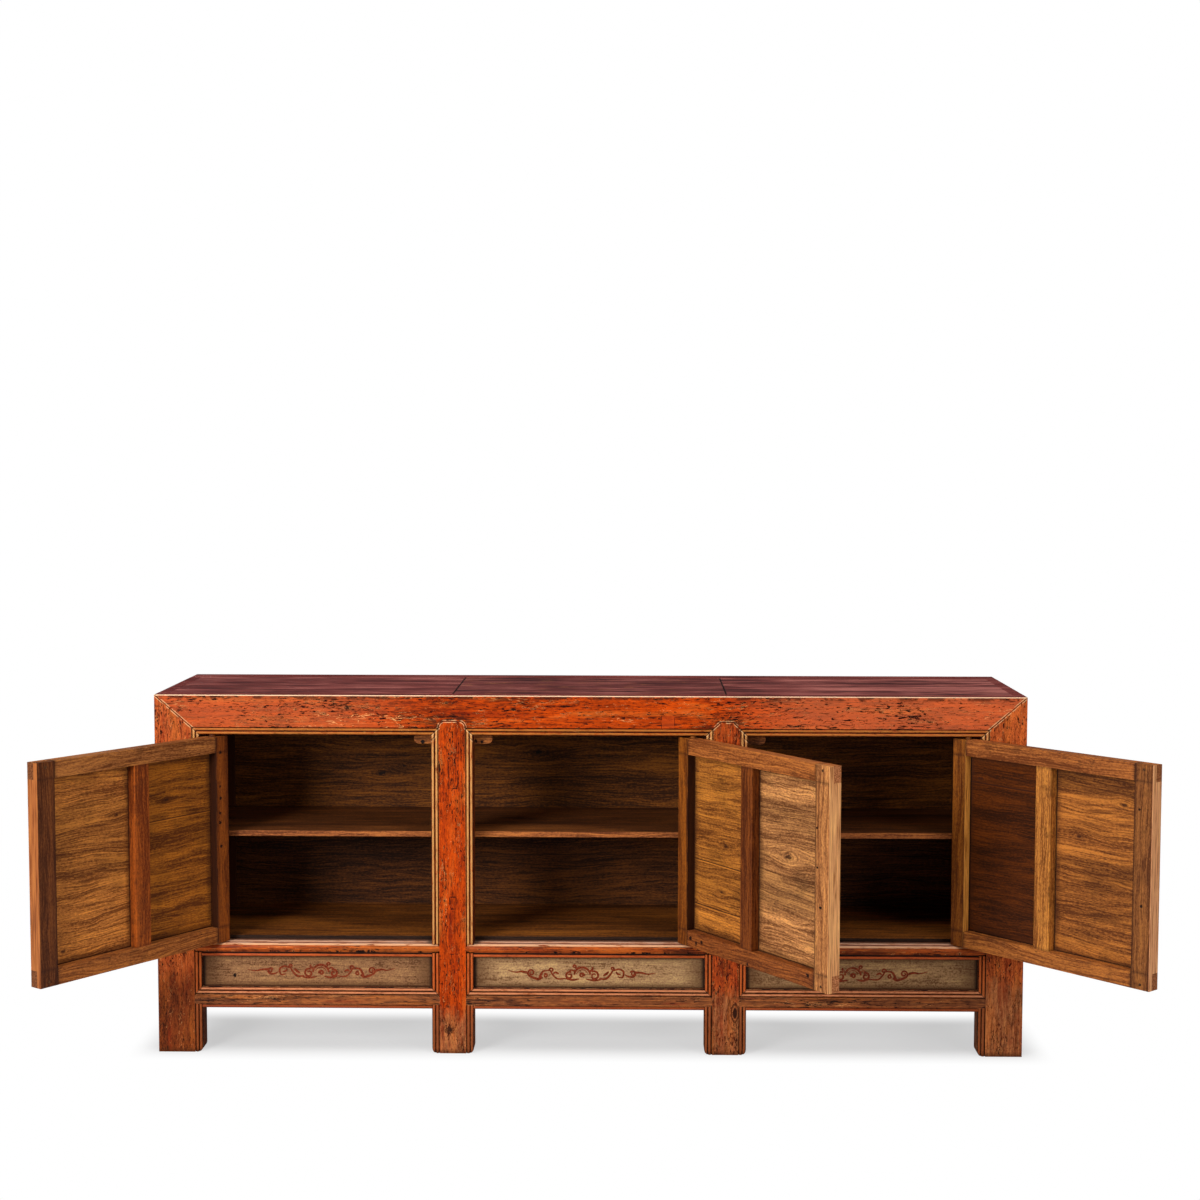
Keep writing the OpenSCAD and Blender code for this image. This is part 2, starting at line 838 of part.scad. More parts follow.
// Pegs through the laps at the free corners, drawn longer by a margin to cut holes
module lap_pegs(margin) {
    for (z = [door_bottom + peg_edge, door_top - peg_edge]) {
        translate([free_u - free_stile_w / 2, -pin_depth - margin, z]) rotate([-90, 0, 0]) {
            cylinder(r = peg_r, h = door_t + peg_proud + 2 * margin);
        }
    }
}

module door_piece(bay, open, piece) {
    hang(bay, open) {
        if (piece == "hinge_stile") hinge_stile();
        if (piece == "free_stile") free_stile();
        if (piece == "top_rail") door_rail(door_top - door_rail_h, door_top - door_rail_h - over);
        if (piece == "bottom_rail") door_rail(door_bottom, door_bottom + door_rail_h - groove);
        if (piece == "muntin") muntin();
        if (piece == "hinge_panel") hinge_panel();
        if (piece == "free_panel") free_panel();
        if (piece == "pegs") lap_pegs(0);
    }
}

module front_post_left() { stand() color(lacquer_red) end_post(-1); }
module front_post_inner_left() { stand() color(lacquer_red) inner_post(0, false); }
module front_post_inner_right() { stand() color(lacquer_red) inner_post(1, true); }
module front_post_right() { stand() color(lacquer_red) end_post(1); }
module back_post_left() { stand() color(lacquer_maroon) back_end_post(-1); }
module back_post_right() { stand() color(lacquer_maroon) back_end_post(1); }
module back_inner_posts() { stand() color(dark_wood) back_inner(); }
module top_rail_front() { stand() color(lacquer_red) front_top_rail(); }
module top_rail_back() { stand() color(lacquer_maroon) back_top_rail(); }
module top_rail_left() { stand() color(lacquer_red) side_top_rail(-1); }
module top_rail_right() { stand() color(lacquer_red) side_top_rail(1); }
module top_cross_rails() { stand() color(dark_wood) cross_rail(); }
module top_panel_left() { stand() color(lacquer_maroon) top_panel(0); }
module top_panel_middle() { stand() color(lacquer_maroon) top_panel(1); }
module top_panel_right() { stand() color(lacquer_maroon) top_panel(2); }
module sill_left() { stand() color(lacquer_red) sill(0); }
module sill_middle() { stand() color(lacquer_red) sill(1); }
module sill_right() { stand() color(lacquer_red) sill(2); }
module bottom_rail_left() { stand() color(lacquer_red) bottom_rail(0); }
module bottom_rail_middle() { stand() color(lacquer_red) bottom_rail(1); }
module bottom_rail_right() { stand() color(lacquer_red) bottom_rail(2); }
module apron_panel_left() { stand() color(painted_beige) apron_panel(0); }
module apron_panel_middle() { stand() color(painted_beige) apron_panel(1); }
module apron_panel_right() { stand() color(painted_beige) apron_panel(2); }
module side_rail_left() { stand() color(lacquer_red) side_rail(-1); }
module side_rail_right() { stand() color(lacquer_red) side_rail(1); }
module side_panel_left() { stand() color(lacquer_maroon) side_panel(-1); }
module side_panel_right() { stand() color(lacquer_maroon) side_panel(1); }
module back_rail_lower() { stand() color(dark_wood) lower_back_rail(); }
module back_board_upper() { stand() color(dark_wood) back_board(shelf_z + seam, top_z); }
module back_board_lower() { stand() color(dark_wood) back_board(floor_top, shelf_z); }
module shelf() { stand() color(dark_wood) shelf_board(); }
module shelf_bearers() { stand() color(dark_wood) shelf_bearer(); }
module floor_board() { stand() color(dark_wood) floor_panel(); }
module floor_bearers() { stand() color(dark_wood) floor_bearer(); }
module door_stops() { stand() color(bare_wood) stops(); }

module left_hinge_stile() { color(bare_wood) door_piece(0, left_open, "hinge_stile"); }
module left_free_stile() { color(bare_wood) door_piece(0, left_open, "free_stile"); }
module left_door_top_rail() { color(bare_wood) door_piece(0, left_open, "top_rail"); }
module left_door_bottom_rail() { color(bare_wood) door_piece(0, left_open, "bottom_rail"); }
module left_muntin() { color(bare_wood) door_piece(0, left_open, "muntin"); }
module left_hinge_panel() { color(bare_wood) door_piece(0, left_open, "hinge_panel"); }
module left_free_panel() { color(bare_wood) door_piece(0, left_open, "free_panel"); }
module left_door_pegs() { color(dark_wood) door_piece(0, left_open, "pegs"); }

module middle_hinge_stile() { color(bare_wood) door_piece(1, middle_open, "hinge_stile"); }
module middle_free_stile() { color(bare_wood) door_piece(1, middle_open, "free_stile"); }
module middle_door_top_rail() { color(bare_wood) door_piece(1, middle_open, "top_rail"); }
module middle_door_bottom_rail() { color(bare_wood) door_piece(1, middle_open, "bottom_rail"); }
module middle_muntin() { color(bare_wood) door_piece(1, middle_open, "muntin"); }
module middle_hinge_panel() { color(bare_wood) door_piece(1, middle_open, "hinge_panel"); }
module middle_free_panel() { color(bare_wood) door_piece(1, middle_open, "free_panel"); }
module middle_door_pegs() { color(dark_wood) door_piece(1, middle_open, "pegs"); }

module right_hinge_stile() { color(bare_wood) door_piece(2, right_open, "hinge_stile"); }
module right_free_stile() { color(bare_wood) door_piece(2, right_open, "free_stile"); }
module right_door_top_rail() { color(bare_wood) door_piece(2, right_open, "top_rail"); }
module right_door_bottom_rail() { color(bare_wood) door_piece(2, right_open, "bottom_rail"); }
module right_muntin() { color(bare_wood) door_piece(2, right_open, "muntin"); }
module right_hinge_panel() { color(bare_wood) door_piece(2, right_open, "hinge_panel"); }
module right_free_panel() { color(bare_wood) door_piece(2, right_open, "free_panel"); }
module right_door_pegs() { color(dark_wood) door_piece(2, right_open, "pegs"); }

front_post_left();
front_post_inner_left();
front_post_inner_right();
front_post_right();
back_post_left();
back_post_right();
back_inner_posts();
top_rail_front();
top_rail_back();
top_rail_left();
top_rail_right();
top_cross_rails();
top_panel_left();
top_panel_middle();
top_panel_right();
sill_left();
sill_middle();
sill_right();
bottom_rail_left();
bottom_rail_middle();
bottom_rail_right();
apron_panel_left();
apron_panel_middle();
apron_panel_right();
side_rail_left();
side_rail_right();
side_panel_left();
side_panel_right();
back_rail_lower();
back_board_upper();
back_board_lower();
shelf();
shelf_bearers();
floor_board();
floor_bearers();
door_stops();
left_hinge_stile();
left_free_stile();
left_door_top_rail();
left_door_bottom_rail();
left_muntin();
left_hinge_panel();
left_free_panel();
left_door_pegs();
middle_hinge_stile();
middle_free_stile();
middle_door_top_rail();
middle_door_bottom_rail();
middle_muntin();
middle_hinge_panel();
middle_free_panel();
middle_door_pegs();
right_hinge_stile();
right_free_stile();
right_door_top_rail();
right_door_bottom_rail();
right_muntin();
right_hinge_panel();
right_free_panel();
right_door_pegs();
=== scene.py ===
import json
from functools import partial
from math import copysign, cos, hypot, radians, sin, sqrt

import bmesh
import bpy
from mathutils import Matrix, Vector

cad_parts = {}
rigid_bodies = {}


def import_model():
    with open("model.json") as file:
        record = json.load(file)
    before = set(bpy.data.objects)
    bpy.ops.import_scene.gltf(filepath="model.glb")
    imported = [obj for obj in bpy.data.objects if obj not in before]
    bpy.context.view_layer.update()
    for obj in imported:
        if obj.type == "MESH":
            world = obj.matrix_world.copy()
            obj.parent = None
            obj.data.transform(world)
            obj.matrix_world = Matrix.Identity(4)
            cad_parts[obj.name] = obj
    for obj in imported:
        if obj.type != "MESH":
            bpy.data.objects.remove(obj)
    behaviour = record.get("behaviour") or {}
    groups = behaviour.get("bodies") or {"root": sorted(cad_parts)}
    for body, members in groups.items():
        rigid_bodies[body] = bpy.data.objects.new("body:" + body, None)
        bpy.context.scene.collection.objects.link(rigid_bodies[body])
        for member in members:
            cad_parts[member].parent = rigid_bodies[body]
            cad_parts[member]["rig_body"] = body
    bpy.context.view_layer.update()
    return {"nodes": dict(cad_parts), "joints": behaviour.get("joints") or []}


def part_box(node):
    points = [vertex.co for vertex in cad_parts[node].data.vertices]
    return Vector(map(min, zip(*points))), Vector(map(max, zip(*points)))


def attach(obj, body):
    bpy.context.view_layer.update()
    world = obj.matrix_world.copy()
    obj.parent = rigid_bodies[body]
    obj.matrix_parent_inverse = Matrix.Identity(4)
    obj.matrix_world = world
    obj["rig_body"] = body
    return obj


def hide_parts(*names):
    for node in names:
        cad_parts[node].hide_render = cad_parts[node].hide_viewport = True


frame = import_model()
NODES = frame["nodes"]
BAYS = ("left", "middle", "right")
MM = 1000

# Where the middle of the case's front face lies in the frame, in mm
rail_low, rail_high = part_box("top_rail_front")
FRAME_X = round(-(rail_low.x + rail_high.x) / 2 * MM, 3)
FRAME_Y = round(-rail_low.y * MM, 3)


def extent(node, axis):
    """Least and greatest place of a node at rest along x, y or z, in mm of the case."""
    shift = {"x": FRAME_X, "y": FRAME_Y, "z": 0}[axis]
    return [round(getattr(corner, axis) * MM + shift, 1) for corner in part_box(node)]


# Places of the case in mm, measured from the middle of its front face and from the floor
OPENING_TOP, CASE_H = extent("top_rail_front", "z")
CASE_D = extent("back_post_left", "y")[1]
SILL_Z, SILL_TOP = extent("sill_left", "z")
RAIL_TOP = extent("bottom_rail_left", "z")[1]
HEAD_TOP = extent("front_post_inner_left", "z")[1]
APRON_Y = extent("apron_panel_left", "y")[0]
APRON_MID, APRON_HALF = (SILL_Z + RAIL_TOP) / 2, (SILL_Z - RAIL_TOP) / 2
SHELF_FRONT = extent("shelf", "y")[0]
FLOOR_FRONT = extent("floor_board", "y")[0]
POSTS = [extent(f"front_post_{place}", "x") for place in ("left", "inner_left", "inner_right", "right")]
POST_MIDS = [sum(post) / 2 for post in POSTS]
END_HALF, INNER_HALF = [(high - low) / 2 for low, high in POSTS[:2]]
BAY = POSTS[1][0] - POSTS[0][1]
BAY_MIDS = [sum(extent(f"sill_{bay}", "x")) / 2 for bay in BAYS]
# Width of the beads round an opening, and the plain band between a bottom rail's beads
BEADS = 19
SHOULDER = OPENING_TOP + BEADS
BAND_Z, BAND_TOP = 122, 145
# Heads of the inner posts: half their width, the round one's corners, half the width of the pointed one's tip
HEAD_HALF, HEAD_ROUND, HEAD_TIP = 33, 15, 15.5

# Of each door: axis in X, sense (1 opens to the left, -1 to the right), cosine and sine of its angle at rest
DOORS = {}
for joint in frame["joints"]:
    shut = max(joint["range_deg"], key=abs)
    axis_x = round(joint["pos_m"][0] * MM + FRAME_X, 1)
    angle = radians(abs(shut))
    DOORS[joint["child"].removesuffix("_door")] = axis_x, copysign(1, shut), cos(angle), sin(angle)
PIN_Y = round(frame["joints"][0]["pos_m"][1] * MM + FRAME_Y, 1)


def door_extent(piece):
    """Least and greatest place of a piece of the left door along it from its axis, in mm."""
    px, _, cosine, sine = DOORS["left"]
    places = [(v.co.x * MM + FRAME_X - px) * cosine - (v.co.y * MM + FRAME_Y - PIN_Y) * sine
              for v in NODES[f"left_{piece}"].data.vertices]
    return round(min(places), 1), round(max(places), 1)


# Places on a door in mm: up from the floor, and along it from its axis
DOOR_LOW, DOOR_HIGH = extent("left_free_stile", "z")
DOOR_RAIL = DOOR_HIGH - extent("left_door_top_rail", "z")[0]
HINGE_WALL, FREE_WALL = door_extent("hinge_stile")[1], door_extent("free_stile")[0]
FREE_U = door_extent("free_stile")[1]
MUNTIN = door_extent("muntin")
PANEL_SPAN = {"hinge": (HINGE_WALL, MUNTIN[0]), "free": (MUNTIN[1], FREE_WALL)}


def srgb(*rgb):
    """Linear colour of an sRGB colour from 0 to 255."""
    return *(c / 255 / 12.92 if c <= 10 else ((c / 255 + 0.055) / 1.055) ** 2.4 for c in rgb), 1


def shades(mean, low=0.6, high=1.3):
    """Dark, middle and light tone of a wood or paint, from its middle sRGB colour."""
    r, g, b = mean
    dark = srgb(r * low, g * low * 0.88, b * low * 0.75)
    light = srgb(min(250, r * high), min(240, g * high * 1.05), min(230, b * high))
    return dark, srgb(*mean), light


# Dirt and painted shade, from the darkest
BLACK = srgb(20, 9, 7)
UMBER = srgb(28, 12, 8)
EARTH = srgb(50, 23, 12)
DUST_AND_SHADE = srgb(60, 30, 14)
SHADOW = srgb(76, 35, 15)
# Paint, and the wood that shows where it has gone
ORANGE = srgb(208, 112, 40)
DEEP_RED = srgb(128, 28, 6)
FLAKE = srgb(236, 158, 92)
CREAM = srgb(224, 176, 124)
GOLD = srgb(180, 112, 48)
RUBBED = srgb(224, 150, 97)
RED = shades((172, 58, 4), 0.62, 1.17)
RED_END = shades((178, 82, 36), 0.62, 1.18)
RED_KNOTTED = shades((158, 62, 22), 0.6, 1.25)
BROWN = shades((150, 90, 54), 0.62, 1.28)
DARK_LEG = shades((105, 46, 17), 0.62, 1.28)
MAROON = srgb(58, 18, 19), srgb(110, 46, 42), srgb(176, 104, 94)


class Val:
    """A number or colour in a node tree, with arithmetic."""

    def __init__(self, g, s):
        self.g, self.s = g, s

    def __add__(self, o):
        return self.g.math("ADD", self, o)

    def __sub__(self, o):
        return self.g.math("SUBTRACT", self, o)

    def __mul__(self, o):
        return self.g.math("MULTIPLY", self, o)

    def __truediv__(self, o):
        return self.g.math("DIVIDE", self, o)

    def __rsub__(self, o):
        return self.g.math("SUBTRACT", o, self)

    def __abs__(self):
        return self.g.math("ABSOLUTE", self)

    __radd__, __rmul__ = __add__, __mul__


class Graph:
    """Makes the nodes of one tree, a material's or a shared group's."""

    def __init__(self, tree, mat=None):
        self.tree, self.mat = tree, mat
        tree.nodes.clear()

    def put(self, socket, value):
        if isinstance(value, Val):
            self.tree.links.new(value.s, socket)
        elif value is not None:
            socket.default_value = value

    def outputs(self, kind, inputs, **props):
        """All outputs of a new shader node."""
        n = self.tree.nodes.new("ShaderNode" + kind)
        for k, v in props.items():
            setattr(n, k, v)
        for k, v in inputs.items():
            self.put(n.inputs[k], v)
        return [Val(self, s) for s in n.outputs]

    def node(self, kind, inputs, out=0, **props):
        return self.outputs(kind, inputs, **props)[out]

    def math(self, op, a, b=None):
        return self.node("Math", {0: a, 1: b}, operation=op)

    def most(self, *values):
        top = values[0]
        for v in values[1:]:
            top = self.math("MAXIMUM", top, v)
        return top

    def least(self, a, b):
        return self.math("MINIMUM", a, b)

    def far(self, a, b):
        """Length of a step of a one way and b at right angles to it."""
        return self.math("SQRT", a * a + b * b)

    def vec(self, x, y, z):
        return self.node("CombineXYZ", {0: x, 1: y, 2: z})

    def split(self, v):
        return self.outputs("SeparateXYZ", {0: v})

    def case(self):
        """Place in mm from the middle of the case's front face."""
        inputs = {0: self.node("TexCoord", {}, out=3), 1: (MM, MM, MM), 2: (FRAME_X, FRAME_Y, 0)}
        return self.split(self.node("VectorMath", inputs, operation="MULTIPLY_ADD"))

    def door(self, name):
        """Place on a door in mm: along it and through it from its axis, and up."""
        x, y, z = self.case()
        px, sense, cosine, sine = DOORS[name]
        dx, dy = (x - px) * sense, y - PIN_Y
        return dx * cosine - dy * sine, dx * sine + dy * cosine, z

    def noise(self, v, detail=3, rough=0.6, warp=0):
        return self.node("TexNoise", {"Vector": v, "Scale": 1, "Detail": detail, "Roughness": rough,
                                      "Distortion": warp})

    def spots(self, a, b, long, wide, detail=3, rough=0.6, warp=0, level=0):
        """Noise with spots of a length along a and a width along b, in mm, for each level another."""
        return self.noise(self.vec(a / long, b / wide, level), detail, rough, warp)

    def step(self, x, low, high):
        """0 at low and 1 at high, smooth between; low may be the greater."""
        flip = low > high
        a, b = (high, low) if flip else (low, high)
        return self.node("MapRange", {0: x, 1: a, 2: b, 3: float(flip), 4: float(not flip)},
                         interpolation_type="SMOOTHSTEP")

    def line(self, d, half, soft=0.5):
        """1 within half a line's width of zero."""
        return self.step(abs(d), half + soft, half - soft)

    def mix(self, fac, a, b):
        return self.node("Mix", {0: fac, 6: a, 7: b}, out=2, data_type="RGBA")

    def ramp(self, t, tones, first, second):
        """Three tones: dark to middle over the first range of t, and on to light over the second."""
        dark, mid, light = tones
        return self.mix(self.step(t, *second), self.mix(self.step(t, *first), dark, mid), light)

    def edge(self):
        """1 on the rounded arrises of a softened piece."""
        return self.node("Attribute", {}, out=2, attribute_name="edge")

    def finish(self, hue, rough, height, bump, gloss=0.12):
        normal = self.node("Bump", {"Strength": bump, "Distance": 0.001, "Height": height})
        return self.surface(self.node("BsdfPrincipled", {
            "Base Color": hue, "Roughness": rough, "Specular IOR Level": gloss, "Normal": normal}))

    def surface(self, shader, end="OutputMaterial"):
        """Ends the tree with its shader, and gives the material."""
        self.outputs(end, {0: shader})
        return self.mat


def material(name):
    m = bpy.data.materials.new(name)
    m.use_nodes = True
    return Graph(m.node_tree, m)


def case_material(name):
    """A new material's graph, and the place in mm of the case."""
    g = material(name)
    return g, *g.case()


SOCKETS = {"f": "NodeSocketFloat", "c": "NodeSocketColor"}


def shared(takes, gives):
    """Turns a function of numbers (f) and colours (c) into a node group that the materials share."""
    def wrap(build):
        made = []

        def use(g, *values):
            if not made:
                tree = bpy.data.node_groups.new(build.__name__, "ShaderNodeTree")
                inner = Graph(tree)
                for k, kind in enumerate(takes):
                    tree.interface.new_socket(f"in{k}", in_out="INPUT", socket_type=SOCKETS[kind])
                for k, kind in enumerate(gives):
                    tree.interface.new_socket(f"out{k}", in_out="OUTPUT", socket_type=SOCKETS[kind])
                source = tree.nodes.new("NodeGroupInput")
                results = build(inner, *(Val(inner, source.outputs[k]) for k in range(len(takes))))
                sink = tree.nodes.new("NodeGroupOutput")
                for k, r in enumerate(results):
                    inner.put(sink.inputs[k], r)
                made.append(tree)
            return g.outputs("Group", dict(enumerate(values)), node_tree=made[0])
        return use
    return wrap


def apart(a, b, seed):
    """Places moved so far that each seed has its own stretch of the pattern."""
    return a + seed * 731, b + seed * 173


@shared("fffcccff", "cff")
def paint(g, a, b, seed, dark, mid, light, specks, flakes):
    """Old worn paint: a runs with the grain and b across it. Gives colour, height and bareness."""
    a, b = apart(a, b, seed)
    spots = partial(g.spots, a, b)
    blotch = spots(230, 80)
    streak = spots(85, 8, 4, 0.62, 0.4)
    mottle = spots(13, 7, 4, 0.68)
    grain = spots(34, 3.2)
    t = 0.5 + (streak - 0.5) * 1.2 + (blotch - 0.5) * 0.9 + (mottle - 0.5) * 1.1 + (grain - 0.5) * 0.8
    hue = g.ramp(t, (dark, mid, light), (0.22, 0.5), (0.5, 0.78))
    tint = spots(170, 30, 3, 0.62, 0.3)
    hue = g.mix(g.step(tint, 0.53, 0.66) * 0.3, hue, ORANGE)
    hue = g.mix(g.step(tint, 0.47, 0.34) * 0.42, hue, DEEP_RED)
    cluster = spots(120, 42)
    grime = g.step(spots(46, 12, 4, 0.66) + (cluster - 0.5) * 0.5, 0.54, 0.68)
    hue = g.mix(grime * 0.6, hue, dark)
    # Black specks where the paint has gone, thicker in clusters, some with a rim of pale wood
    over = spots(11.5, 3.6, 4, 0.68, 0.5) - 0.632 + specks * 0.052 + 0.46 * (cluster - 0.5)
    rim = g.step(over, -0.036, -0.014) * g.step(spots(31, 15, 2, 0.5), 0.55, 0.62)
    hue = g.mix(rim * flakes * 0.75, hue, FLAKE)
    dots = g.step(spots(8, 2.6, 2, 0.5), 0.61, 0.66) * g.step(mottle, 0.42, 0.56)
    bare = g.most(g.step(over, -0.002, 0.014), dots * 0.85)
    hue = g.mix(bare * 0.97, hue, BLACK)
    # Pale scratches in patches
    curve = abs(spots(24, 9, 2, 0.5, 0.6) - 0.5)
    patch = g.step(spots(88, 26) + (flakes - 1) * 0.12, 0.56, 0.63)
    scratch = g.step(curve, 0.016, 0.005) * patch
    hue = g.mix(scratch * flakes * 0.8, hue, FLAKE)
    crack = g.step(abs(spots(75, 6, 2, 0.5, 0.5) - 0.5), 0.022, 0.009)
    crack = crack * g.step(spots(80, 17), 0.51, 0.57)
    hue = g.mix(crack * 0.85, hue, BLACK)
    height = 0.5 + 0.3 * mottle - 0.8 * bare - 0.6 * crack - 0.35 * scratch
    return hue, height, bare


@shared("cffcfff", "c")
def beads(g, hue, zone, run, crest, wear, seed, radius):
    """Worn crowns and black grooves on the beads, where zone is 1; run is the place along them, x or z."""
    x, y, z = g.case()
    across = x + z - run
    run = run + seed * 97
    broken = g.spots(run, across, 42, 9, 4, 0.7, level=seed)
    fine = g.spots(run, across, 9, 1.9, level=y / 4 + seed)
    # Depth behind the crown, which lies 1 mm behind the face, against the bead's radius
    deep = (y - 1) / radius
    worn = g.step(broken * 0.6 + fine * 0.4, 0.34, 0.52) * wear
    bead = g.mix(0.45, hue, srgb(128, 52, 16))
    bead = g.mix(g.step(deep, 0.32, 0.04) * worn, bead, crest)
    bead = g.mix(g.step(fine, 0.62, 0.7) * 0.6, bead, EARTH)
    bead = g.mix(g.step(deep, 0.28, 0.62), bead, BLACK)
    return (g.mix(zone, hue, bead),)


@shared("fffcccf", "cf")
def wood(g, a, b, seed, dark, mid, light, ring):
    """Sawn wood: a runs with the grain and b across it; ring is the spacing of its lines, in mm."""
    a, b = apart(a, b, seed)
    bend = g.spots(a, b, 480, 120, 2, 0.55, level=seed) - 0.5
    small = g.spots(a, b, 90, 26, 2, 0.55, level=seed) - 0.5
    bent = b + bend * 62 + small * 11
    spots = partial(g.spots, a, bent)
    band = spots(600, ring * 3.6)
    lines = spots(240, ring * 0.6, 2, 0.7)
    hair = spots(70, 2.6, 2)
    grit = g.spots(a, b, 8, 3.4, 3, 0.7)
    t = 0.5 + (band - 0.5) * 1.5 + (lines - 0.5) * 1.3 + (hair - 0.5) * 1.5 + (grit - 0.5) * 1.5
    hue = g.ramp(t, (dark, mid, light), (0.16, 0.54), (0.5, 0.92))
    stripe = spots(170, 5.2, 3, 0.65, 0.2)
    hue = g.mix(g.step(stripe, 0.55, 0.64) * 0.75, hue, dark)
    gold = g.step(spots(13, 3.6, 2), 0.6, 0.68) * g.step(band, 0.44, 0.56)
    hue = g.mix(gold * 0.55, hue, light)
    pits = g.step(spots(11, 2.2, 3, 0.65, level=5), 0.6, 0.67)
    hue = g.mix(pits * 0.6, hue, dark)
    return hue, t


@shared("fffff", "ff")
def knot(g, a, b, at_a, at_b, size):
    """How far the grain's lines shift beside a knot, and where its core is."""
    da, db = (a - at_a) / (size * 2.3), (b - at_b) / size
    q = da * da + db * db
    shift = db * g.math("EXPONENT", q * -0.45) * size * -0.85
    wobble = g.spots(a, b, 14, 7, 2, 0.5, level=size) * 3
    rings = g.math("SINE", g.math("SQRT", q) * 15 + wobble) * g.step(q, 1.4, 0.3) * 0.55
    eye = g.step(q + (wobble - 1.5) * 0.1, 0.13, 0.06)
    return shift, g.most(eye, rings)


def knotted_wood(g, a, b, knots, seed, tones, ring, core_tone, jump=None):
    """Colour and height of wood whose lines bend round knots: place along, place across, size."""
    bent, core = b, None
    for at_a, at_b, size in knots:
        shift, k = knot(g, a, b, at_a, at_b, size)
        bent = bent + shift
        core = k if core is None else g.most(core, k)
    if jump is not None:
        bent = bent + jump
    hue, height = wood(g, a, bent, seed, *tones, ring)
    if core is not None:
        hue = g.mix(core * 0.9, hue, core_tone)
    return hue, height


def arris(g, hue, seed, tone=CREAM):
    """Pale wood where paint has rubbed off the softened edges."""
    x, y, z = g.case()
    n = g.noise(g.vec(x / 24, y / 24, z / 24 + seed), 4, 0.65)
    return g.mix(g.edge() * g.step(n, 0.4, 0.56) * 0.8, hue, tone)


def holes(g, hue, a, b, places):
    """Small black holes at some places, each with its radius."""
    ragged = g.spots(a, b, 3, 3, level=1)
    for at_a, at_b, radius in places:
        rim = g.far(a - at_a, b - at_b) + radius * (ragged - 0.5) * 2.4
        hue = g.mix(g.step(rim, radius + 0.8, radius - 0.8), hue, BLACK)
    return hue


def on_front(g, y):
    """1 on the front face of the case."""
    return g.step(y, 3, 1)


def on_beads(g, y):
    """1 as far back as the beads reach."""
    return g.step(y, 12, 8)


def head_distance(g, x, z, pointed):
    """Distance in mm from the outline of an inner post's head, negative inside it."""
    ax = abs(x)
    if pointed:
        run, rise = HEAD_HALF - HEAD_TIP, HEAD_TOP - SHOULDER
        long = hypot(run, rise)
        slant = (ax - HEAD_HALF) * (rise / long) + (z - SHOULDER) * (run / long)
        d = g.most(slant, z - HEAD_TOP, ax - HEAD_HALF)
    else:
        qx, qz = ax - (HEAD_HALF - HEAD_ROUND), z - (HEAD_TOP - HEAD_ROUND)
        d = g.far(g.most(qx, 0), g.most(qz, 0)) + g.least(g.most(qx, qz), 0) - HEAD_ROUND
    flare = g.most((ax + z - (INNER_HALF + OPENING_TOP)) * sqrt(0.5), z - SHOULDER)
    return g.least(d, flare)


def mitre_distance(g, x, z):
    """Distance in mm from the top rail's end mitres, positive on the rail's side."""
    inner = POST_MIDS[3] - END_HALF
    knee = inner + BEADS
    run, rise = POST_MIDS[3] + END_HALF - knee, CASE_H - SHOULDER
    long = hypot(run, rise)
    ax = abs(x)
    high = (knee - ax) * (rise / long) + (z - SHOULDER) * (run / long)
    low = (z - OPENING_TOP - ax + inner) * sqrt(0.5)
    return g.mix(g.step(z, SHOULDER - 1, SHOULDER + 1), low, high)


def seam_marks(g, hue, d, pale_side, seed):
    """Dark gap and broken pale line on a seam in the front face; d is the distance from it."""
    x, y, z = g.case()
    n = g.spots(x + z, x - z, 22, 22, level=seed)
    front = g.step(y, 6, 3)
    pale = g.line(d - 2.6 * pale_side, 0.9) * g.step(n, 0.42, 0.52)
    hue = g.mix(pale * front * 0.8, hue, CREAM)
    return g.mix(g.line(d, 0.9, 0.7) * front * g.step(n, 0.3, 0.4) * 0.9, hue, BLACK)


def maroon(g, hue, seed):
    """Maroon on what shows of a piece in the top's surface."""
    x, y, z = g.case()
    streak = g.spots(x, y, 300, 20, 5, 0.7, level=seed)
    red = g.ramp(streak, MAROON, (0.34, 0.5), (0.5, 0.76))
    return g.mix(g.step(z, CASE_H - 1.2, CASE_H - 0.6), hue, red)


def bare_foot(g, hue, height, seed, leg):
    """Bare wood on a leg, up to a ragged edge at some height."""
    x, y, z = g.case()
    worn, _, _ = paint(g, z, x + y * 0.8, seed + 20, *leg, 0.7, 0.7)
    ragged = z + 90 * (g.noise(g.vec(x / 26, 0, z / 70 + seed), 3, 0.65) - 0.5)
    return g.mix(g.step(ragged, height + 30, height - 30) * 0.8, hue, worn)


PLUGS = ((-334, 231, 11, 20), (-337, 380, 9, 15), (-336, 705, 12, 38))


def plugs(g, hue):
    """Broken outlines of the plugs in the second post, each with its middle, half width and half height."""
    x, y, z = g.case()
    for k, (px, pz, half_w, half_h) in enumerate(PLUGS):
        broken = g.noise(g.vec(x / 9, k + 0.5, z / 16))
        d = g.most(abs(x - px) - half_w, abs(z - pz) - half_h) + 5 * (broken - 0.5)
        hue = g.mix(g.line(d, 1.6) * on_front(g, y) * g.step(broken, 0.43, 0.53) * 0.8, hue, BLACK)
    return hue


def stain(g, hue, sx=-348, sz=60, radius=10):
    """Speckled stain at the foot of the second post."""
    x, y, z = g.case()
    speckle = g.noise(g.vec(x / 2.8, 0, z / 3.6), 3, 0.7)
    d = g.far(x - sx, z - sz) + 44 * (speckle - 0.5)
    return g.mix(g.step(d, radius + 3, radius - 3) * on_front(g, y) * 0.85, hue, BLACK)


def leg_knot(g, hue, kx=363, kz=106, half_w=15, half_h=38):
    """Knot at the foot of the third post."""
    x, y, z = g.case()
    d = g.far((x - kx) / half_w, (z - kz) / half_h)
    wobble = g.noise(g.vec(x / 12, 0, z / 25), 2, 0.5) * 3
    rings = g.math("SINE", d * 11 + wobble) * g.step(d, 1.25, 0.95)
    return g.mix(g.most(rings * 0.8, g.step(d, 0.42, 0.3)), hue, EARTH)


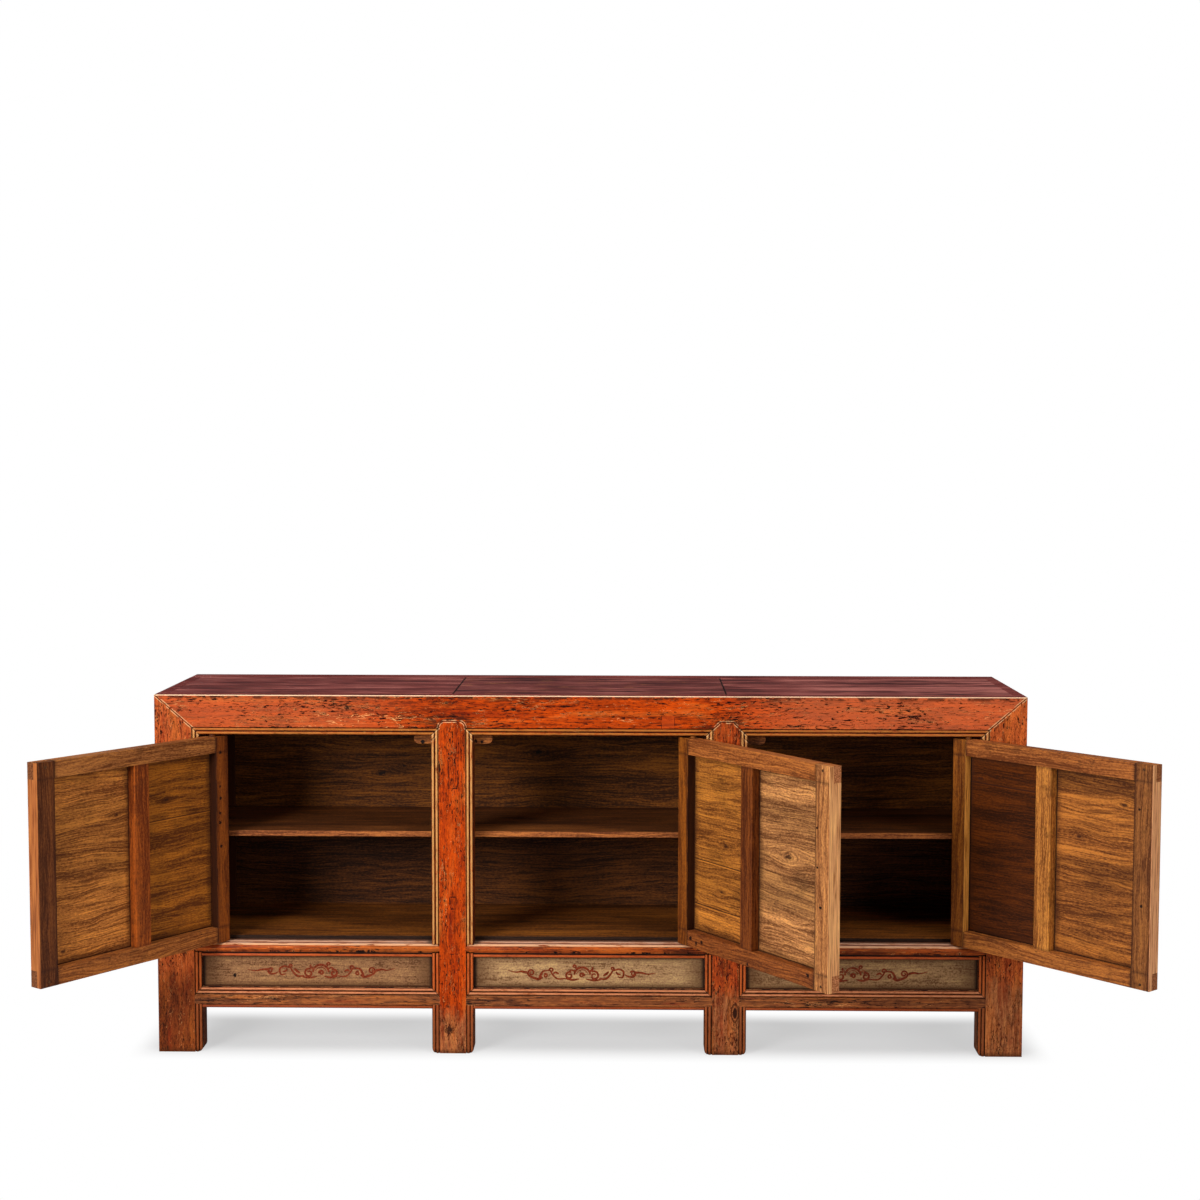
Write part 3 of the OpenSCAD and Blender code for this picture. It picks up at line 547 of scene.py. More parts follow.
def post_beads(g, hue, reach, half, seed):
    """Beads up a post's sides, gilded beside the doors; reach is the distance from its middle."""
    x, y, z = g.case()
    zone = g.step(reach, half - BEADS - 0.5, half - BEADS + 0.1) * on_beads(g, y)
    foot, apron, gilded = srgb(138, 74, 40), srgb(186, 92, 42), srgb(206, 150, 86)
    crest = g.mix(g.step(z, SILL_TOP - 4, SILL_TOP + 6), g.mix(g.step(z, 90, 180), foot, apron), gilded)
    hue, = beads(g, hue, zone, z, crest, 0.95, seed, 4)
    return hue


def shaded(g, hue):
    """Painted shade behind the front face, and darker at the floor."""
    x, y, z = g.case()
    hue = g.mix(g.step(y, 8, 14) * 0.72, hue, SHADOW)
    return g.mix(g.step(z, 14, 2) * 0.6, hue, DUST_AND_SHADE)


def post_material(k, bare, specks=1, tones=RED, leg=BROWN, marks=()):
    """A front post, numbered from the left; bare is the height up to which its paint has gone."""
    g, x, y, z = case_material(f"painted_post_{k + 1}")
    from_mid = x - POST_MIDS[k]
    seed = k + 1
    hue, height, rub = paint(g, z, x + y * 0.8, seed, *tones, specks, 0.8)
    hue = bare_foot(g, hue, bare, seed, leg)
    for mark in marks:
        hue = mark(g, hue)
    if k in (1, 2):
        hue = post_beads(g, hue, abs(from_mid), INNER_HALF, seed)
        head = head_distance(g, from_mid, z, k == 2)
        seam = head + g.step(z, OPENING_TOP - 1, OPENING_TOP - 3) * 9
    else:
        hue = post_beads(g, hue, from_mid * (1 if k == 0 else -1), END_HALF, seed)
        seam = mitre_distance(g, x, z)
    hue = seam_marks(g, hue, seam, -1, seed)
    hue = arris(g, shaded(g, hue), seed)
    return g.finish(hue, 0.5 + 0.3 * rub, height, 0.5, 0.06)


def outside_material(name, seed, specks=0.8, along="z", outside=1067):
    """Pieces of the sides and the back: red outside, and painted shade within, which ends at outside in X."""
    g, x, y, z = case_material(name)
    run, across = {"x": (x, z + y * 0.9), "y": (y, z + x * 0.9), "z": (z, x + y * 0.8)}[along]
    hue, height, rub = paint(g, run, across, seed, *RED, specks, 0.8)
    hue = bare_foot(g, hue, 0, seed, BROWN)
    # Painted shade on the faces within the case
    within = (g.step(abs(x), outside + 1, outside - 1) * g.step(y, CASE_D - 6, CASE_D - 12)
              * g.step(z, CASE_H - 4, CASE_H - 6))
    hue = g.mix(within * 0.92, shaded(g, hue), DUST_AND_SHADE)
    return g.finish(maroon(g, hue, 4), 0.5 + 0.3 * rub, height, 0.5, 0.06)


def rail_patch(g, hue, px=194, pz=833, half=16):
    """Square patch let into the top rail."""
    x, y, z = g.case()
    d = g.most(abs(x - px) - half, abs(z - pz) - half)
    broken = g.step(g.noise(g.vec(x / 14, 0, z / 14)), 0.4, 0.52)
    hue = g.mix(g.step(d, 0.5, -0.5) * on_front(g, y) * 0.55, hue, srgb(184, 66, 18))
    return g.mix(g.line(d, 0.8) * on_front(g, y) * broken * 0.8, hue, BLACK)


def top_rail_material():
    g, x, y, z = case_material("painted_top_rail")
    # Most flaked over the left bay, faded towards the ends
    flaked = g.step(abs(x + 560), 240, 90) * g.step(z, CASE_H - 26, CASE_H - 53)
    hue, height, rub = paint(g, x / 1.6, z + y, 5, *RED, 1, 0.9 + flaked * 0.9)
    ends = g.step(abs(x + 40), 330, 620)
    faded = g.mix(g.step(x, -100, 100), srgb(182, 98, 58), srgb(216, 118, 74))
    hue = g.mix(ends * 0.38 * (1 - g.least(rub * 1.3, 1)), hue, faded)
    for k in (1, 2):
        d = head_distance(g, x - POST_MIDS[k], z, k == 2)
        hue = seam_marks(g, hue, d, 1, 4 + k)
        burnt = g.noise(g.vec(x / 18, 0, z / 9 + (k - 1)), 3, 0.65)
        hue = g.mix(g.step(d, 38, 4) * g.step(burnt, 0.46, 0.57) * 0.75, hue, EARTH)
    hue = seam_marks(g, hue, mitre_distance(g, x, z), 1, 9)
    hue = rail_patch(g, hue)
    zone = g.step(z, SHOULDER + 0.3, SHOULDER - 0.5) * on_beads(g, y)
    hue, = beads(g, hue, zone, x, GOLD, 0.9, 6, 4)
    # Dirt under the top edge, and the edge's own pale lip
    n = g.spots(x, z, 55, 30, 4, 0.7, level=3)
    under = g.step(z + 7 * (n - 0.5), CASE_H - 14, CASE_H - 6) * g.step(n, 0.46, 0.56)
    hue = g.mix(under * 0.75, hue, EARTH)
    lip = g.step(z, CASE_H - 2.8, CASE_H - 1.4) * g.step(y, 3, 1.2)
    hue = g.mix(lip * g.step(n, 0.28, 0.38), hue, srgb(246, 204, 164))
    hue = g.mix(g.step(y, 1, 2.5), hue, maroon(g, hue, 2))
    # Painted shade on the rail's back face within the case and on its underside
    behind = g.step(y, 30, 38) * g.step(z, CASE_H - 8, CASE_H - 18)
    under_face = g.step(z, OPENING_TOP + 0.8, OPENING_TOP + 0.3)
    hue = g.mix(g.most(behind, under_face) * 0.75, hue, DUST_AND_SHADE)
    return g.finish(hue, 0.5 + 0.3 * rub, height, 0.5, 0.06)


def sill_top_colour(g, k):
    """The sill's upper face: a painted highlight, a red line between, and painted shade beside the floor
    board.
    """
    x, y, z = g.case()
    n = g.spots(x, y, 46, 7, 4, 0.65, level=k * 3)
    # Pale tones of a painted highlight where light falls on the upper face
    tones = srgb(184, 116, 82), srgb(238, 184, 150), srgb(240, 200, 172)
    pale = g.ramp(n, tones, (0.36, 0.5), (0.54, 0.64))
    away = y + 10 * (g.noise(g.vec(x / 70, 0, k * 5)) - 0.5)
    between = g.step(away, 9, 12) * g.step(away, 24, 21)
    pale = g.mix(between * 0.8, pale, srgb(122, 48, 24))
    # Painted shade beside the floor board
    return g.mix(g.step(away, 36, 39) * 0.85, pale, SHADOW), n


def sill_material(k):
    g, x, y, z = case_material(f"painted_sill_{k}")
    hue, height, rub = paint(g, x / 2.2, z + y, 6 + k, *shades((160, 70, 20), 0.6, 1.25), 0.4, 0.8)
    bead_top = SILL_Z + 8.4
    zone = g.step(z, bead_top + 0.4, bead_top - 0.4) * on_beads(g, y)
    hue, = beads(g, hue, zone, x, srgb(190, 86, 38), 0.8, 7 + k, 4)
    slit = g.step(z, bead_top + 3.2, bead_top + 1.8) * g.step(z, bead_top - 0.8, bead_top)
    hue = g.mix(slit * g.step(y, 14, 10), hue, BLACK)
    flat = g.step(z, SILL_TOP - 1.6, SILL_TOP - 0.5)
    pale, n = sill_top_colour(g, k)
    # The painted highlight over the flat upper face
    hue = g.mix(flat * 0.9, hue, pale)
    # A painted highlight along the front of the upper face
    brow = g.step(z, SILL_TOP - 4.5, SILL_TOP - 2.5) * g.step(z, SILL_TOP + 0.2, SILL_TOP - 0.8)
    brow = brow * g.step(y, 9, 6) * g.step(n, 0.36, 0.46)
    hue = g.mix(brow * 0.9, hue, srgb(232, 176, 130))
    # Painted shade at the back of the upper face
    hue = g.mix(g.step(y, 44, 52) * flat * 0.6, hue, DUST_AND_SHADE)
    # Painted shade in the corners of the upper face beside the posts
    from_mid = abs(x - BAY_MIDS[k]) + 26 * (n - 0.5)
    corner = g.step(from_mid, BAY / 2 - 22, BAY / 2 - 4) * flat * g.step(y, 6, 14)
    hue = g.mix(corner * 0.75, hue, srgb(48, 38, 34))
    return g.finish(arris(g, hue, 6 + k, RUBBED), 0.5 + 0.3 * rub, height, 0.4)


def bottom_rail_material(k):
    g, x, y, z = case_material(f"painted_bottom_rail_{k}")
    hue, height, rub = paint(g, x / 2.2, z + y, 9 + k, *shades((124, 67, 34), 0.56, 1.3), 0.5, 0.8)
    upper = g.step(z, BAND_TOP + 0.3, BAND_TOP + 1) * on_beads(g, y)
    # The upper beads' pale crowns: worn, and lightened as a painted highlight
    hue, = beads(g, hue, upper, x, srgb(208, 132, 88), 0.9, 9.5 + k, 4)
    lower = g.step(z, BAND_Z + 0.2, BAND_Z - 0.6) * on_beads(g, y)
    hue, = beads(g, hue, lower, x, srgb(156, 66, 26), 0.7, 9.8 + k, 4.5)
    mitre = (abs(x - BAY_MIDS[k]) - BAY / 2 + z - RAIL_TOP) * sqrt(0.5)
    hue = g.mix(g.line(mitre, 1.4) * upper, hue, BLACK)
    return g.finish(arris(g, hue, 9 + k, RUBBED), 0.5 + 0.3 * rub, height, 0.45)


# Joints between the boards of the top, as distances behind the front face
TOP_JOINTS = (128, 231, 318)


def top_material(k):
    g, case_x, y, z = case_material(f"maroon_top_{k}")
    # Each bay's boards come from another stretch of the pattern
    x = case_x + k * 731
    streak = g.spots(x, y, 330, 24, 5, 0.7, 0.15, level=z / 20)
    grain = g.spots(x, y, 130, 7, 4, 0.65, level=z / 20)
    cloud = g.spots(x, y, 240, 110)
    t = 0.5 + (streak - 0.5) * 1.5 + (grain - 0.5) * 1 + (cloud - 0.5) * 0.9
    dark, mid, light = MAROON
    hue = g.mix(g.step(t, 0.28, 0.5), dark, mid)
    paler = g.step(case_x, 200, 1000) * 0.14
    hue = g.mix(g.step(t + paler, 0.5, 0.88), hue, light)
    rub = g.spots(x, y, 90, 20, 5, 0.72, level=3)
    least_rub = 0.58 if k == 1 else 0.62
    hue = g.mix(g.step(rub, least_rub, least_rub + 0.07) * 0.6, hue, srgb(182, 112, 66))
    dent = g.spots(x, y, 44, 9, 4, 0.65, level=5)
    hue = g.mix(g.step(dent, 0.62, 0.68) * 0.75, hue, srgb(36, 14, 12))
    for place in TOP_JOINTS:
        wander = y - place + 7 * (g.noise(g.vec(x / 300, place, 0), 2, 0.5) - 0.5)
        hue = g.mix(g.line(wander, 1.3) * 0.85, hue, UMBER)
    seam = g.least(abs(case_x - POST_MIDS[1]), abs(case_x - POST_MIDS[2]))
    hue = g.mix(g.step(seam, 3.2, 1.4) * 0.9, hue, UMBER)
    if k == 1:
        hue = g.node("HueSaturation", {"Value": 0.85, "Color": hue})
    return g.finish(hue, 0.48, streak, 0.2)


# Middle colour of each apron, and the hole in the left one: place and radius
APRON_TONES = ((140, 98, 64), (160, 122, 84), (150, 112, 75))
APRON_HOLE = (-886, 191, 4.5)


def apron_material(k):
    g, x, y, z = case_material(f"beige_apron_{k}")
    level = 3 * k
    n = g.spots(x, z, 16, 9, 4, 0.65, level=level)
    big = g.spots(x, z, 120, 40, level=level)
    streak = g.spots(x, z, 70, 4, 4, level=level)
    fine = g.spots(x, z, 5, 4, 3, 0.7, level=level)
    t = 0.5 + (n - 0.5) * 0.7 + (big - 0.5) * 0.9 + (streak - 0.5) * 0.8 + (fine - 0.5) * 1.1
    hue = g.ramp(t, shades(APRON_TONES[k], 0.66, 1.22), (0.24, 0.5), (0.5, 0.8))
    # Dirt and painted shade towards the ends and the long edges, and black painted shade at the very rim
    along, up = abs(x - BAY_MIDS[k]), abs(z - APRON_MID)
    end = BAY / 2 - 1
    ends = g.step(along + 30 * (big - 0.5), end - 70, end)
    dirt = g.most(ends, g.step(up + 12 * (big - 0.5), 21, APRON_HALF))
    hue = g.mix(dirt * (0.25 + 0.9 * n), hue, srgb(78, 46, 22))
    rim = g.most(g.step(along, end - 10, end), g.step(up, APRON_HALF - 4, APRON_HALF))
    hue = g.mix(rim * 0.9, hue, UMBER)
    if k == 0:
        hue = holes(g, hue, x, z, (APRON_HOLE,))
    dot = g.spots(x, z, 5.5, 4.5, 2, 0.5, level=level)
    hue = g.mix(g.step(dot, 0.66, 0.72) * 0.5, hue, srgb(84, 52, 30))
    return g.finish(hue, 0.62, n, 0.25)


def outer_paint(g, hue, a, b, v, limit, seed):
    """The doors' outer faces are painted like the case."""
    red, _, _ = paint(g, a, b, seed, *RED, 0.35, 0.9)
    return g.mix(g.step(v, limit + 0.5, limit - 0.5), hue, red)


def frame_joint(g, u, z, upright):
    """Distance in mm from the nearest joint of a door's frame."""
    joint = g.least(abs(u - HINGE_WALL), abs(u - FREE_WALL))
    if upright:
        ends = g.least(abs(z - DOOR_LOW - DOOR_RAIL), abs(z - DOOR_HIGH + DOOR_RAIL))
        joint = g.least(joint, ends + 1.2)
    return joint


def hinge_wall(g, hue, u, v, z, seed, mean):
    """The hinge stile's wall beside the panel, brightened as a painted highlight."""
    dark, mid, _ = shades(mean, 0.66)
    fibre = g.spots(v, z, 2.6, 70, 4, 0.65, level=seed + 2)
    bright = g.mix(g.step(fibre, 0.36, 0.58), dark, mid)
    return g.mix(g.step(u, HINGE_WALL - 0.9, HINGE_WALL - 0.3) * g.step(v, 3, 5), hue, bright)


def free_edge(g, hue, u, v, z, seed, mean, upright):
    """The door's free edge: long grain on the stile, end grain on the rails' laps."""
    tones = shades(mean, 0.72, 1.14)
    face = g.step(u, FREE_U - 1.4, FREE_U - 0.7)
    if upright:
        n = g.spots(v, z, 3.4, 120, 4, 0.65, level=seed)
        return g.mix(face, hue, g.ramp(n, tones, (0.38, 0.5), (0.52, 0.64)))
    n = g.spots(v, z, 4, 4, level=seed)
    hue = g.mix(face, hue, g.mix(g.step(n, 0.42, 0.58), tones[0], tones[1]))
    return g.mix(g.edge() * g.step(u, FREE_U - 3, FREE_U - 1) * 0.8, hue, BLACK)


def door_frame_material(name, door, upright, seed, mean, nails, other, other_mean):
    """A stile, muntin or rail; other is the part of it with a colour of its own."""
    g = material(name)
    u, v, z = g.door(door)
    a, b = (z, u + v * 0.9) if upright else (u, z + v * 0.9)
    hue, height = wood(g, a, b, seed, *shades(mean, 0.68, 1.24), 9)
    dirt = g.noise(g.vec(u / 30, v / 30, z / 30 + seed))
    hue = g.mix(g.step(dirt, 0.54, 0.68) * 0.35, hue, DUST_AND_SHADE)
    mark = g.spots(a, b, 14, 5, level=seed)
    hue = g.mix(g.step(mark, 0.66, 0.7) * 0.75, hue, BLACK)
    joint = frame_joint(g, u, z, upright)
    hue = g.mix(g.step(joint, 2.2, 0.6) * 0.85, hue, BLACK)
    hue = g.mix(g.step(joint + 10 * (dirt - 0.5), 9, 1) * 0.45, hue, EARTH)
    # A painted highlight on the hinge stile's wall, on doors that have a wall tone
    if other == "wall" and other_mean:
        hue = hinge_wall(g, hue, u, v, z, seed, other_mean)
    hue = holes(g, hue, u, z, nails)
    hue = outer_paint(g, hue, a, b, v, -9.2, seed + 10)
    hue = g.mix(g.step(joint, 2, 0.6) * g.step(v, -9, -10) * 0.85, hue, BLACK)
    if other in ("edge", "lap"):
        hue = free_edge(g, hue, u, v, z, seed, other_mean, upright)
    # Pale on the rounded arrises: rubbed wood, and a painted highlight
    x, y, z = g.case()
    n = g.noise(g.vec(x / 40, y / 40, z / 40 + seed))
    hue = g.mix(g.edge() * g.step(n, 0.4, 0.6) * 0.55, hue, shades(mean, high=1.6)[2])
    return g.finish(hue, 0.52, height, 0.25)


def panel_bands(g, hue, u, z, level, seed, bands):
    """Boards of other brightness, cloudy all over and in bands."""
    cloud = g.spots(u, z, 110, 80, 2, 0.5, level=seed + 4)
    bright = 1.04 - g.step(cloud, 0.5, 0.66) * 0.24
    wavy = level + 40 * (g.spots(u, z, 160, 90, 2, 0.5, level=seed + 8) - 0.5)
    for low, top, amount in bands:
        bright = bright + g.step(wavy, low - 9, low + 9) * g.step(wavy, top + 9, top - 9) * amount
    return g.node("HueSaturation", {"Value": bright, "Color": hue})


def door_panel_material(name, door, which, seed, mean, joints, knots, bands):
    g = material(name)
    u, v, z = g.door(door)
    # The boards run slightly out of level
    level = z + u * 0.012
    jump = None
    for k, joint in enumerate(joints):
        step = g.step(level, joint - 0.3, joint + 0.3) * (83 + 31 * k)
        jump = jump + step if k else step
    hue, height = knotted_wood(g, u, z, knots, seed, shades(mean, 0.62), 12, EARTH, jump)
    fleck = g.step(g.spots(u, z, 17, 7, 4, 0.7, level=seed + 3), 0.58, 0.68)
    hue = g.mix(fleck * 0.4, hue, shades(mean, high=1.34)[2])
    hue = panel_bands(g, hue, u, z, level, seed, bands)
    for joint in joints:
        hue = g.mix(g.line(level - joint, 1.4) * 0.85, hue, EARTH)
        hue = g.mix(g.line(level - joint + 3.2, 1.2) * 0.45, hue, shades(mean, high=1.5)[2])
    # Dirt beside the frame, and painted shade in the corner against it, on both faces
    low, high = PANEL_SPAN[which]
    near = g.least(g.least(u - low, high - u), g.least(z - DOOR_LOW - DOOR_RAIL, DOOR_HIGH - DOOR_RAIL - z))
    n = g.spots(u, z, 60, 60, level=seed)
    hue = g.mix(g.step(near + 30 * (n - 0.5), 20, 1) * 0.6, hue, DUST_AND_SHADE)
    # Painted shade in the corner against the frame
    hue = g.mix(g.step(near, 4.5, 1.5) * 0.8, hue, UMBER)
    hue = outer_paint(g, hue, u, z, v, -5.8, seed + 10)
    outer = g.step(v, -5.6, -6.6)
    # On the outer face: dirt beside the frame, and painted shade in the corner against it
    hue = g.mix(g.step(near + 16 * (n - 0.5), 14, 1) * outer * 0.6, hue, srgb(70, 22, 8))
    hue = g.mix(g.step(near, 4, 1.5) * outer * 0.8, hue, BLACK)
    return g.finish(hue, 0.55, height, 0.25)


def inside_material(name, seed, mean, along="x", joints=(), knots=(), marks=(), front=None,
                    front_tone=(148, 83, 41)):
    """Dark boards within the case; front is where a board's front edge lies, paler on the shelf and in
    painted shade on the floor board.
    """
    g, x, y, z = case_material(name)
    a, b = (x, z + y * 0.93) if along == "x" else (y, x + z * 0.9)
    hue, height = knotted_wood(g, a, b, knots, seed, shades(mean, 0.52, 1.4), 15, BLACK)
    for joint in joints:
        hue = g.mix(g.line(z - joint, 1) * 0.6, hue, BLACK)
    hue = holes(g, hue, x, z, marks)
    if front is not None:
        edge, _ = wood(g, x, z + y, seed + 5, *shades(front_tone, 0.62, 1.25), 8)
        hue = g.mix(g.step(y, front + 1.4, front + 0.6), hue, edge)
    return g.finish(hue, 0.62, height, 0.2)


def peg_material(door, seed):
    g, x, y, z = case_material(f"{door}_peg_wood")
    n = g.noise(g.vec(x / 6, y / 6, z / 6 + seed), 4, 0.6)
    dark, mid, _ = shades((92, 60, 34))
    return g.finish(g.mix(g.step(n, 0.4, 0.64), dark, mid), 0.6, n, 0.3)


# In metres: radius of the worn arrises, and the distance within which points are one
ARRIS, WELD = 0.0011, 2e-6
# Angles above which an edge is sharp or curved, and below which it is flat
SHARP, BENT, FLAT = radians(32), radians(2), radians(1)


def placed(name, data):
    """A new object in the scene."""
    obj = bpy.data.objects.new(name, data)
    bpy.context.scene.collection.objects.link(obj)
    return obj


def softened(node, mat):
    """A copy that stands for a CAD node, with its sharp edges rounded over."""
    src = NODES[node]
    me = src.data.copy()
    me.name = node + "_worn"
    bm = bmesh.new()
    bm.from_mesh(me)
    bmesh.ops.remove_doubles(bm, verts=bm.verts[:], dist=WELD)
    bmesh.ops.dissolve_limit(bm, angle_limit=FLAT, verts=bm.verts[:], edges=bm.edges[:])
    curved, sharp = set(), []
    for e in bm.edges:
        turn = e.calc_face_angle(0)
        if turn > SHARP:
            sharp.append(e)
        elif turn > BENT:
            curved.update(e.link_faces)
    for f in bm.faces:
        f.smooth = f in curved
    layer = bm.faces.layers.float.new("edge")
    out = bmesh.ops.bevel(bm, geom=sharp, offset=ARRIS, offset_type="OFFSET", segments=2, profile=0.6,
                          affect="EDGES", clamp_overlap=True)
    for f in out["faces"]:
        f[layer] = 1.0
        f.smooth = True
    bmesh.ops.triangulate(bm, faces=[f for f in bm.faces if len(f.verts) > 4])
    bm.to_mesh(me)
    bm.free()
    me.materials.clear()
    me.materials.append(mat)
    obj = placed(node + "_worn", me)
    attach(obj, src["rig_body"])
    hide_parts(node)


# Knots in the upper back board, and marks on the door stops
BACK_KNOTS = ((-566, 1016, 14), (-506, 1037, 8), (-144, 1075, 13))
STOP_MARKS = ((-415, 778, 5), (-283, 780, 4), (-267, 778, 4))


def case_materials():
    mats = {
        "front_post_left": post_material(0, 200, tones=RED_END, leg=DARK_LEG),
        "front_post_inner_left": post_material(1, 100, 0.6, marks=(plugs, stain)),
        "front_post_inner_right": post_material(2, 150, 0.9, RED_KNOTTED, marks=(leg_knot,)),
        "front_post_right": post_material(3, 190, tones=RED_END),
        "top_rail_front": top_rail_material(),
        "back_board_upper": inside_material("back_upper_wood", 20, (98, 53, 15), knots=BACK_KNOTS),
        "back_board_lower": inside_material("back_lower_wood", 21, (78, 41, 14), joints=(420,)),
        "shelf": inside_material("shelf_wood", 22, (97, 53, 24), front=SHELF_FRONT),
        # Its front edge is dark with painted shade
        "floor_board": inside_material("floor_wood", 23, (112, 62, 22), front=FLOOR_FRONT,
                                       front_tone=(44, 27, 19)),
        "door_stops": inside_material("stop_wood", 24, (130, 72, 34), marks=STOP_MARKS),
    }
    for k, bay in enumerate(BAYS):
        mats[f"sill_{bay}"] = sill_material(k)
        mats[f"bottom_rail_{bay}"] = bottom_rail_material(k)
        mats[f"top_panel_{bay}"] = top_material(k)
        mats[f"apron_panel_{bay}"] = apron_material(k)
    for mat, nodes in (
        (outside_material("painted_side", 31), ("back_post_left", "back_post_right", "back_inner_posts")),
        (outside_material("painted_side_panel", 33, 0.6, outside=1045),
         ("side_panel_left", "side_panel_right")),
        (outside_material("painted_back_rail", 35, along="x"), ("top_rail_back", "back_rail_lower")),
        (outside_material("painted_side_rail", 37, along="y"),
         ("top_rail_left", "top_rail_right", "side_rail_left", "side_rail_right")),
        (inside_material("bearer_wood", 32, (92, 52, 24), "y"),
         ("top_cross_rails", "shelf_bearers", "floor_bearers")),
    ):
        mats.update({node: mat for node in nodes})
    return mats


# Middle colours on the left, middle and right door; edge is the free edge, lap the rails' end grain there,
# wall a hinge stile's side beside the panel, brightened as a painted highlight
DOOR_TONES = {
    "hinge_stile": ((112, 54, 16), (130, 69, 20), (128, 70, 22)),
    "free_stile": ((92, 48, 22), (170, 109, 62), (126, 74, 36)),
    "muntin": ((136, 64, 20), (106, 52, 19), (172, 106, 46)),
    "top_rail": ((142, 85, 42), (152, 86, 40), (152, 86, 40)),
    "bottom_rail": ((142, 80, 35), (132, 70, 30), (152, 87, 38)),
    # The right door's hinge panel is darkened with painted shade from the middle door
    "hinge_panel": ((130, 72, 20), (148, 88, 34), (74, 32, 3)),
    "free_panel": ((156, 93, 40), (160, 106, 62), (142, 82, 34)),
    "edge": ((158, 91, 46), (222, 156, 100), (228, 158, 108)),
    "lap": ((122, 72, 40), (196, 126, 80), (170, 104, 60)),
    "wall": (None, None, (226, 150, 66)),
}
# Pieces of a door's frame, and the tone that each has besides its own
FRAME_PIECES = {"hinge_stile": "wall", "free_stile": "edge", "muntin": None,
                "top_rail": "lap", "bottom_rail": "lap"}
# Of each panel: heights of the joints between its boards; knots, as places along and up and a size; bands,
# as a lower and an upper edge and how much brighter they are
PANEL_MARKS = {
    ("left", "hinge"): ((610,), ((150, 655, 9),), ((330, 410, 0.18), (650, 700, -0.15))),
    ("left", "free"): ((), ((300, 640, 7), (460, 345, 8)),
                       ((695, 770, 0.21), (520, 680, -0.15), (300, 465, 0.18))),
    ("middle", "hinge"): ((497, 385), ((135, 545, 12), (120, 430, 8)),
                          ((715, 770, 0.18), (420, 495, -0.12), (300, 385, 0.24))),
    ("middle", "free"): ((), ((372, 560, 17), (470, 400, 9)),
                         ((700, 770, 0.21), (632, 690, -0.18), (440, 520, -0.24), (300, 425, 0.24))),
    ("right", "hinge"): ((690,), ((40, 700, 9),), ((695, 770, 0.18),)),
    ("right", "free"): ((), ((330, 600, 10), (450, 690, 10)),
                        ((712, 770, -0.27), (560, 700, 0.15), (300, 410, 0.15))),
}
# Old nail holes, as places along and up and a radius
NAILS = {
    "left_hinge_stile": ((-4, 754, 4), (-2, 670, 3), (-3, 640, 4), (-1, 603, 3), (-1, 579, 4), (-3, 520, 4)),
    "middle_door_bottom_rail": ((25, 300, 5), (48, 292, 4), (70, 299, 5), (470, 306, 5), (250, 284, 4)),
    "right_free_stile": ((515, 470, 4), (505, 690, 3)),
    "middle_free_stile": ((500, 560, 3), (512, 470, 4), (498, 650, 3)),
}


def door_materials(k):
    door, seed = BAYS[k], 50 + 20 * k
    mats = {}
    for j, (piece, other) in enumerate(FRAME_PIECES.items()):
        is_rail = piece.endswith("rail")
        node = f"{door}_door_{piece}" if is_rail else f"{door}_{piece}"
        mats[node] = door_frame_material(
            f"{door}_{piece}_wood", door, not is_rail, seed + j, DOOR_TONES[piece][k],
            NAILS.get(node, ()), other, DOOR_TONES[other][k] if other else None)
    for j, which in enumerate(PANEL_SPAN):
        tone = DOOR_TONES[f"{which}_panel"][k]
        mats[f"{door}_{which}_panel"] = door_panel_material(
            f"{door}_{which}_boards", door, which, seed + 6 + j, tone, *PANEL_MARKS[door, which])
    mats[f"{door}_door_pegs"] = peg_material(door, seed + 9)
    return mats


def smooth(*points):
    """A soft curve through some points (Catmull-Rom), with five steps from each to the next."""
    p = [points[0], *points, points[-1]]
    out = []
    for i in range(1, len(p) - 2):
        for t in (0, 0.2, 0.4, 0.6, 0.8):
            out.append([0.5 * (2 * b + (c - a) * t + (2 * a - 5 * b + 4 * c - d) * t * t
                               + (3 * b - a - 3 * c + d) * t ** 3)
                        for a, b, c, d in zip(*p[i - 1:i + 3])])
    return out + [points[-1]]


def curl(x, z, radius, start, turns):
    """Points of a spiral that runs inwards; start in degrees, turns negative clockwise."""
    count = int(abs(turns) * 14)
    points = []
    for k in range(count + 1):
        r = radius * (1 - 0.72 * k / count)
        turn = radians(start + 360 * turns * k / count)
        points.append((x + r * cos(turn), z + r * sin(turn)))
    return points


def arc(x, z, radius, start, end):
    """Points of an arc between two angles in degrees."""
    count = int((end - start) / 14)
    turns = [radians(start + (end - start) * k / count) for k in range(count + 1)]
    return [(x + radius * cos(turn), z + radius * sin(turn)) for turn in turns]


